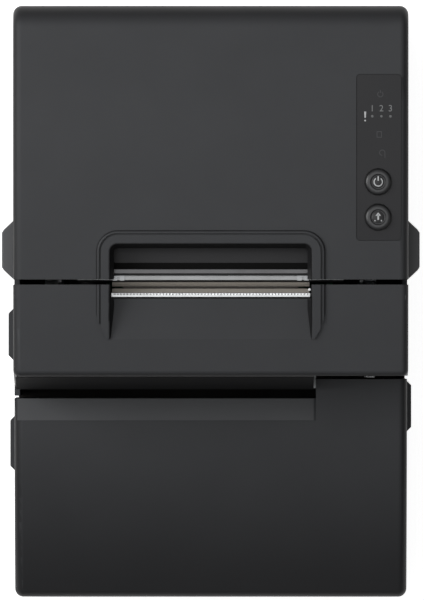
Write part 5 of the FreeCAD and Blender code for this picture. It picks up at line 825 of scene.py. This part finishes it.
class PRINTER_OT_panel_marks(bpy.types.Operator):
    """Print the light numbers and the plain symbols on the key panel"""

    bl_idname = "printer.panel_marks"
    bl_label = "Panel marks"

    def execute(self, context):
        sizes = context.scene.printer_sizes
        tones = context.scene.printer_colours
        thin = sizes.print_thickness
        pale = moulding("Pale print", tones.mark, drift=0.94, **PRINT)
        faint = moulding("Faint print", tones.faint, **PRINT)
        grey = moulding("Grey print", shade(tones.mark, 0.42), drift=0.94, **PRINT)
        for words, x in LIGHT_NUMBERS:
            mesh = text_mesh(words, sizes.digit_height, x, NUMBER_Y, thin)
            add_piece("light_number_" + words, mesh, grey, "roll_cover")
        stem_top = ALARM_FOOT_Y + ALARM_STEM_SHARE * sizes.alarm_height
        stem = [
            (ALARM_X - ALARM_FOOT_HALF, ALARM_FOOT_Y),
            (ALARM_X + ALARM_FOOT_HALF, ALARM_FOOT_Y),
            (ALARM_X + ALARM_TOP_HALF, stem_top),
            (ALARM_X - ALARM_TOP_HALF, stem_top),
        ]
        alarm = [stem, disc(ALARM_X, ALARM_DOT_Y, ALARM_DOT_R)]
        add_piece("alarm_mark", printed(alarm, thin), pale, "roll_cover")
        x, y = POWER_MARK
        rise, length = POWER_STROKE
        power = [ring_sector(x, y, RING_IN, RING_OUT, 120, 420), bar(x, y + rise, LINE_W, length)]
        add_piece("power_symbol", printed(power, thin), faint, "roll_cover")
        x, y = SLIP_MARK
        across, along = SLIP_MARK_HALF
        sheet = [bar(x, y + side * along, SLIP_MARK_W, LINE_W) for side in (1, -1)]
        sheet += [bar(x + side * across, y, LINE_W, SLIP_MARK_H) for side in (-1, 1)]
        add_piece("slip_symbol", printed(sheet, thin), faint, "roll_cover")
        x, y = ROLL_MARK
        right, down, length = ROLL_TAIL
        roll = [ring_sector(x, y, RING_IN, RING_OUT, 0, 270), bar(x + right, y + down, LINE_W, length)]
        add_piece("roll_symbol", printed(roll, thin), faint, "roll_cover")
        return {"FINISHED"}


class PRINTER_OT_key_caps(bpy.types.Operator):
    """Set a dark cap with a plain symbol in each round key"""

    bl_idname = "printer.key_caps"
    bl_label = "Key caps"

    def execute(self, context):
        sizes = context.scene.printer_sizes
        pale = bpy.data.materials["Pale print"]
        radius = sizes.cap_radius
        x = KEY_X
        for name, y in KEYS:
            dish = crown_z(y) + KEY_RISE - CAP_SINK

            def cap_top(px, py, y=y, dish=dish):
                reach = min(1.0, math.hypot(px - x, py - y) / radius)
                return dish + CAP_DOME * (1 - reach ** 2)

            def build(work, y=y, dish=dish, cap_top=cap_top):
                rings = []
                for step in range(1, CAP_RINGS + 1):
                    spots = disc(x, y, radius * step / CAP_RINGS, CAP_SIDES)
                    rings.append([work.verts.new((px, py, cap_top(px, py))) for px, py in spots])
                middle = work.verts.new((x, y, cap_top(x, y)))
                under = [work.verts.new((v.co.x, v.co.y, dish - CAP_DEPTH)) for v in rings[-1]]
                for k in range(CAP_SIDES):
                    after = (k + 1) % CAP_SIDES
                    work.faces.new((middle, rings[0][k], rings[0][after]))
                    for low, high in zip(rings, rings[1:]):
                        work.faces.new((low[k], high[k], high[after], low[after]))
                    work.faces.new((rings[-1][k], under[k], under[after], rings[-1][after]))
                work.faces.new(list(reversed(under)))

            cap = add_piece(name + "_cap", mesh_of(build), MATERIALS["key cap"], name)
            for polygon in cap.data.polygons:
                polygon.use_smooth = True
            if name == "power_key":
                rise, width, length = KEY_STROKE
                outlines = [ring_sector(x, y, *KEY_RING, 125, 415), bar(x, y + rise, width, length)]
            else:
                half, foot, tip = FEED_HEAD
                outlines = [bar(x, y + rise, width, length) for rise, width, length in FEED_BARS]
                outlines.append([(x - half, y + foot), (x + half, y + foot), (x, y + tip)])

            def mark(work, outlines=outlines, cap_top=cap_top):
                for points in outlines:
                    prism(
                        work,
                        points,
                        lambda px, py: cap_top(px, py) - SYMBOL_SEAT,
                        lambda px, py: cap_top(px, py) + sizes.print_thickness,
                    )

            add_piece(name + "_symbol", mesh_of(mark), pale, name)
        return {"FINISHED"}


class PRINTER_OT_tear_teeth(bpy.types.Operator):
    """Set the row of fine teeth along the tear edge"""

    bl_idname = "printer.tear_teeth"
    bl_label = "Tear teeth"

    def execute(self, context):
        pitch = context.scene.printer_sizes.tooth_pitch
        low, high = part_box("tear_bar")
        count = int((high.x - low.x) / pitch) - 1
        first = (low.x + high.x) / 2 - pitch * (count - 1) / 2
        edge_y = high.y - TOOTH_EDGE_IN
        base = high.z - TOOTH_SEAT
        half = TOOTH_HALF_SHARE * pitch

        def build(work):
            points = [(-half, 0.0), (half, 0.0), (0.0, TOOTH_HEIGHT)]
            rows = (edge_y - TOOTH_FRONT, edge_y + TOOTH_BACK)
            loft(work, [[(first + a, y, base + b) for a, b in points] for y in rows])

        material = MATERIALS["edge"]
        mesh = row_of(row_tree("Tooth row"), mesh_of(build), count, pitch, material)
        add_piece("tear_teeth", mesh, material, "base")
        return {"FINISHED"}


class PRINTER_OT_lip_trim(bpy.types.Operator):
    """Fold a thin plated trim over the lip of the platen bracket"""

    bl_idname = "printer.lip_trim"
    bl_label = "Lip trim"

    def execute(self, context):
        sheet = context.scene.printer_sizes.trim_thickness
        hem = LIP_TOP - TRIM_HANG
        path = [
            (LIP_FRONT_Y, hem),
            (LIP_FRONT_Y - sheet, hem),
            (LIP_FRONT_Y - sheet, LIP_TOP + 0.4 * sheet),
            (LIP_FRONT_Y - 0.6 * sheet, LIP_TOP + sheet),
            (LIP_REAR_Y + 0.6 * sheet, LIP_TOP + sheet),
            (LIP_REAR_Y + sheet, LIP_TOP + 0.4 * sheet),
            (LIP_REAR_Y + sheet, hem),
            (LIP_REAR_Y, hem),
            (LIP_REAR_Y, LIP_TOP),
            (LIP_FRONT_Y, LIP_TOP),
        ]
        trim = slab_mesh(path, -TRIM_HALF, TRIM_HALF)
        add_piece("lip_trim", trim, MATERIALS["trim"], "roll_cover")
        return {"FINISHED"}


class PRINTER_OT_exit_shade_flank(bpy.types.Operator):
    """Painted shade: a steep flank round the paper exit, on the cover and on the lid, in the cover moulding,
    whose painted light falls off so the exit's edge shows dark
    """

    bl_idname = "printer.exit_liner"
    bl_label = "Exit shade flank"

    def execute(self, context):
        width = context.scene.printer_sizes.shade_flank_width

        def flank(x, y, inward, depth):
            """Section of the shade flank at a point of the opening's edge."""
            top = crown_z(y) + SHADE_FLANK_TOP
            foot = crown_z(y) - depth
            reach = width * (depth + SHADE_FLANK_TOP) / (SHADE_FLANK_DEPTH + SHADE_FLANK_TOP)
            near = (x + SHADE_FLANK_SEAT * inward[0], y + SHADE_FLANK_SEAT * inward[1])
            far = (x + reach * inward[0], y + reach * inward[1])
            return [near + (top,), far + (foot,), near + (foot,)]

        around = [flank(EXIT_HALF, COVER_FRONT_Y, (-1, 0), SHADE_FLANK_DEPTH)]
        for side, start in ((1, 0), (-1, 90)):
            for step in range(CORNER_STEPS + 1):
                turn = math.radians(start + 90 * step / CORNER_STEPS)
                out = (math.cos(turn), math.sin(turn))
                x = side * (EXIT_HALF - EXIT_CORNER) + EXIT_CORNER * out[0]
                y = EXIT_BACK_Y - EXIT_CORNER + EXIT_CORNER * out[1]
                around.append(flank(x, y, (-out[0], -out[1]), SHADE_FLANK_DEPTH))
        around.append(flank(-EXIT_HALF, COVER_FRONT_Y, (1, 0), SHADE_FLANK_DEPTH))
        cover = mesh_of(lambda work: loft(work, around))
        add_piece("exit_shade_flank", cover, MATERIALS["cover"], "roll_cover")

        def cheeks(work):
            for side in (-1, 1):
                run = []
                first = RAMP_TIP_Y + SHADE_FLANK_START
                for step in range(CHEEK_STEPS + 1):
                    y = first + (RAMP_FOOT_Y - first) * step / CHEEK_STEPS
                    depth = min(SHADE_FLANK_DEPTH, RAMP_FALL * (y - RAMP_TIP_Y) - SHADE_FLANK_LIFT)
                    run.append(flank(side * EXIT_HALF, y, (-side, 0), depth))
                loft(work, run)

        add_piece("ramp_shade_flanks", mesh_of(cheeks), MATERIALS["cover"], "front_lid")
        return {"FINISHED"}


class PRINTER_OT_slot_fittings(bpy.types.Operator):
    """Set the small fittings of the paper slot and the slip mouth, with painted shade behind the bracket's
    lip and on the lid's front wall, and painted light on the lead-in
    """

    bl_idname = "printer.slot_fittings"
    bl_label = "Slot fittings"

    def execute(self, context):
        bevel = slab_mesh(KNIFE_BEVEL, -SLOT_HALF, SLOT_HALF)
        add_piece("knife_bevel", bevel, MATERIALS["guide"], "roll_cover")
        guide = slab_mesh(PAPER_GUIDE, -SLOT_HALF, SLOT_HALF)
        add_piece("paper_guide", guide, MATERIALS["guide"], "base")
        self.shade_strip_and_clips()
        pin = plates([disc(*PIN_PLACE, PIN_R)], PIN_Z)
        add_piece("slot_pin", pin, MATERIALS["edge"], "base")
        self.mouth()
        lug = plates([bar(*LUG_BOX)], LUG_Z)
        add_piece("plate_lug", lug, bpy.data.materials["Blackened steel"], "base")
        return {"FINISHED"}

    def shade_strip_and_clips(self):
        """Painted shade: a near-black strip behind the bracket's lip, where the slot is in shade; and a
        notched clip at each end of the slot.
        """
        # Painted shade: near-black strip behind the lip
        shade_strip = moulding("Lip painted shade", (0.008, 0.008, 0.008), rough=0.95, gloss=0.05, grain=1500.0, relief=0.3)
        shade_band = plates([bar(0.0, SHADE_STRIP_Y, 2 * SLOT_HALF, SHADE_STRIP_W)], SHADE_STRIP_Z)
        add_piece("lip_shade_strip", shade_band, shade_strip, "roll_cover")
        inner, notch_in, notch_out, outer = CLIP_X
        front, notch, rear = CLIP_Y
        outline = [
            (inner, front),
            (notch_in, front),
            (notch_in, notch),
            (notch_out, notch),
            (notch_out, front),
            (outer, front),
            (outer, rear),
            (inner, rear),
        ]
        clips = plates([[(side * x, y) for x, y in outline] for side in (-1, 1)], CLIP_Z)
        add_piece("slot_clips", clips, MATERIALS["plate"], "roll_cover")

    def mouth(self):
        """Painted shade: a near-black sheet on the lid's front wall; painted light: a lighter plate on the
        front unit's lip, which lies in the lid's shadow.
        """
        # Painted shade: near-black sheet where the lid's front wall is in shade
        shade_sheet = moulding("Mouth painted shade", (0.0070, 0.0070, 0.0074), rough=0.75, gloss=0.06)
        add_piece("mouth_shade_sheet", slab_mesh(MOUTH_WALL, *MOUTH_X), shade_sheet, "front_lid")

        def lip_z(y):
            return LEAD_IN_Z - (y - LEAD_IN_Y) * LEAD_IN_SLOPE

        def build(work):
            prism(
                work,
                bar(*LEAD_IN_BOX),
                lambda x, y: lip_z(y) - LEAD_IN_SUNK,
                lambda x, y: lip_z(y) + LEAD_IN_PROUD,
            )

        # Painted light: a lighter plate where the lip lies in the lid's shadow
        lit_plate = moulding("Lead-in painted light", (0.080, 0.082, 0.086), rough=0.5, gloss=0.2)
        add_piece("lead_in_painted_light", mesh_of(build), lit_plate, "front_unit")


class PRINTER_OT_socket_contacts(bpy.types.Operator):
    """Set the sprung contacts in the network socket"""

    bl_idname = "printer.socket_contacts"
    bl_label = "Socket contacts"

    def execute(self, context):
        sizes = context.scene.printer_sizes
        count = sizes.contact_count
        pitch = sizes.contact_pitch
        first = CONTACT_X - pitch * (count - 1) / 2
        contact = slab_mesh(CONTACT_PATH, first - CONTACT_HALF, first + CONTACT_HALF)
        material = MATERIALS["contact"]
        mesh = row_of(row_tree("Contact row"), contact, count, pitch, material)
        add_piece("network_contacts", mesh, material, "base")
        return {"FINISHED"}


class PRINTER_OT_stage(bpy.types.Operator):
    """Lay the floor and set the lights, the sky and the camera"""

    bl_idname = "printer.stage"
    bl_label = "Stage"

    def execute(self, context):
        scene = context.scene
        scene.view_settings.view_transform = "Standard"
        self.floor(scene)
        self.sky(scene)
        for name, place, size, power in LAMPS:
            self.lamp(scene, name, place, size, power)
        self.camera(scene)
        return {"FINISHED"}

    def floor(self, scene):
        def build(work):
            corners = bar(0.0, 0.0, 2 * FLOOR_HALF, 2 * FLOOR_HALF)
            work.faces.new([work.verts.new((x, y, 0)) for x, y in corners])

        mesh = mesh_of(build)
        material, tree, shader, vector = start_material("Studio floor")
        tone = scene.printer_colours.floor
        mottle = noise(tree, vector, 3.0, 2.0)
        tint = mix_colour(tree, mottle, shade(tone, 1.0), shade(tone, 0.985))
        tree.links.new(tint, shader.inputs["Base Color"])
        shader.inputs["Roughness"].default_value = 0.9
        shader.inputs["Specular IOR Level"].default_value = 0.1
        path = node(tree, "ShaderNodeLightPath")
        seen = maths(tree, "MAXIMUM", path.outputs["Is Camera Ray"], path.outputs["Is Transmission Ray"])
        seen = maths(tree, "MAXIMUM", seen, path.outputs["Is Glossy Ray"])
        shader.inputs["Emission Color"].default_value = (1.0, 1.0, 1.0, 1.0)
        tree.links.new(maths(tree, "MULTIPLY", seen, FLOOR_GLOW), shader.inputs["Emission Strength"])
        mesh.materials.append(material)
        floor = bpy.data.objects.new("studio_floor", mesh)
        scene.collection.objects.link(floor)

    def sky(self, scene):
        """Soft grey dome, lighter overhead, at the left and behind, that the camera sees as white."""
        world = bpy.data.worlds.new("Studio sky")
        world.use_nodes = True
        scene.world = world
        tree = world.node_tree
        light = next(n for n in tree.nodes if n.type == "BACKGROUND")
        where = node(tree, "ShaderNodeTexCoord")
        split = node(tree, "ShaderNodeSeparateXYZ")
        tree.links.new(where.outputs["Generated"], split.inputs[0])
        level = SKY_BASE
        for axis, slope in zip("XYZ", SKY_SLOPE):
            level = maths(tree, "ADD", maths(tree, "MULTIPLY", split.outputs[axis], slope), level)
        level = maths(tree, "MAXIMUM", level, SKY_LEAST)
        path = node(tree, "ShaderNodeLightPath")
        seen = maths(tree, "MAXIMUM", path.outputs["Is Camera Ray"], path.outputs["Is Transmission Ray"])
        unseen = maths(tree, "SUBTRACT", 1.0, seen)
        strength = maths(tree, "ADD", maths(tree, "MULTIPLY", level, unseen), seen)
        light.inputs["Color"].default_value = (1.0, 1.0, 1.0, 1.0)
        tree.links.new(strength, light.inputs["Strength"])

    def lamp(self, scene, name, place, size, power):
        data = bpy.data.lights.new(name, "AREA")
        data.shape = "DISK"
        data.size = size
        data.energy = power
        lamp = bpy.data.objects.new(name, data)
        lamp.location = place
        lamp.rotation_euler = (-Vector(place)).to_track_quat("-Z", "Y").to_euler()
        scene.collection.objects.link(lamp)

    def camera(self, scene):
        """Long lens straight above, with the front of the printer at the bottom of the picture."""
        data = bpy.data.cameras.new("Top camera")
        height = CROWN_TOP + CAMERA_REACH
        data.sensor_width = SENSOR
        data.lens = SENSOR * (height - PICTURE_LEVEL) / PICTURE_HEIGHT
        data.clip_end = 2 * CAMERA_REACH
        camera = bpy.data.objects.new("Top camera", data)
        camera.location = (*CAMERA_PLAN, height)
        scene.collection.objects.link(camera)
        scene.camera = camera


class PRINTER_PT_panel(bpy.types.Panel):
    """Shows the sizes, the colours and a button for each step"""

    bl_idname = "PRINTER_PT_panel"
    bl_label = "Receipt printer"
    bl_space_type = "VIEW_3D"
    bl_region_type = "UI"
    bl_category = "Printer"

    def draw(self, context):
        column = self.layout.column()
        for group in (context.scene.printer_sizes, context.scene.printer_colours):
            for name in group.__annotations__:
                column.prop(group, name)
        for operator in OPERATORS:
            column.operator(operator.bl_idname)


OPERATORS = (
    PRINTER_OT_mouldings,
    PRINTER_OT_mechanism,
    PRINTER_OT_panel_marks,
    PRINTER_OT_key_caps,
    PRINTER_OT_tear_teeth,
    PRINTER_OT_lip_trim,
    PRINTER_OT_exit_shade_flank,
    PRINTER_OT_slot_fittings,
    PRINTER_OT_socket_contacts,
    PRINTER_OT_stage,
)
CLASSES = (PrinterSizes, PrinterColours) + OPERATORS + (PRINTER_PT_panel,)


def register():
    for item in CLASSES:
        bpy.utils.register_class(item)
    bpy.types.Scene.printer_sizes = PointerProperty(type=PrinterSizes)
    bpy.types.Scene.printer_colours = PointerProperty(type=PrinterColours)


def unregister():
    del bpy.types.Scene.printer_colours
    del bpy.types.Scene.printer_sizes
    for item in reversed(CLASSES):
        bpy.utils.unregister_class(item)


def main():
    register()
    for operator in OPERATORS:
        group, name = operator.bl_idname.split(".")
        getattr(getattr(bpy.ops, group), name)()
    bpy.context.view_layer.update()


if __name__ == "__main__":
    main()
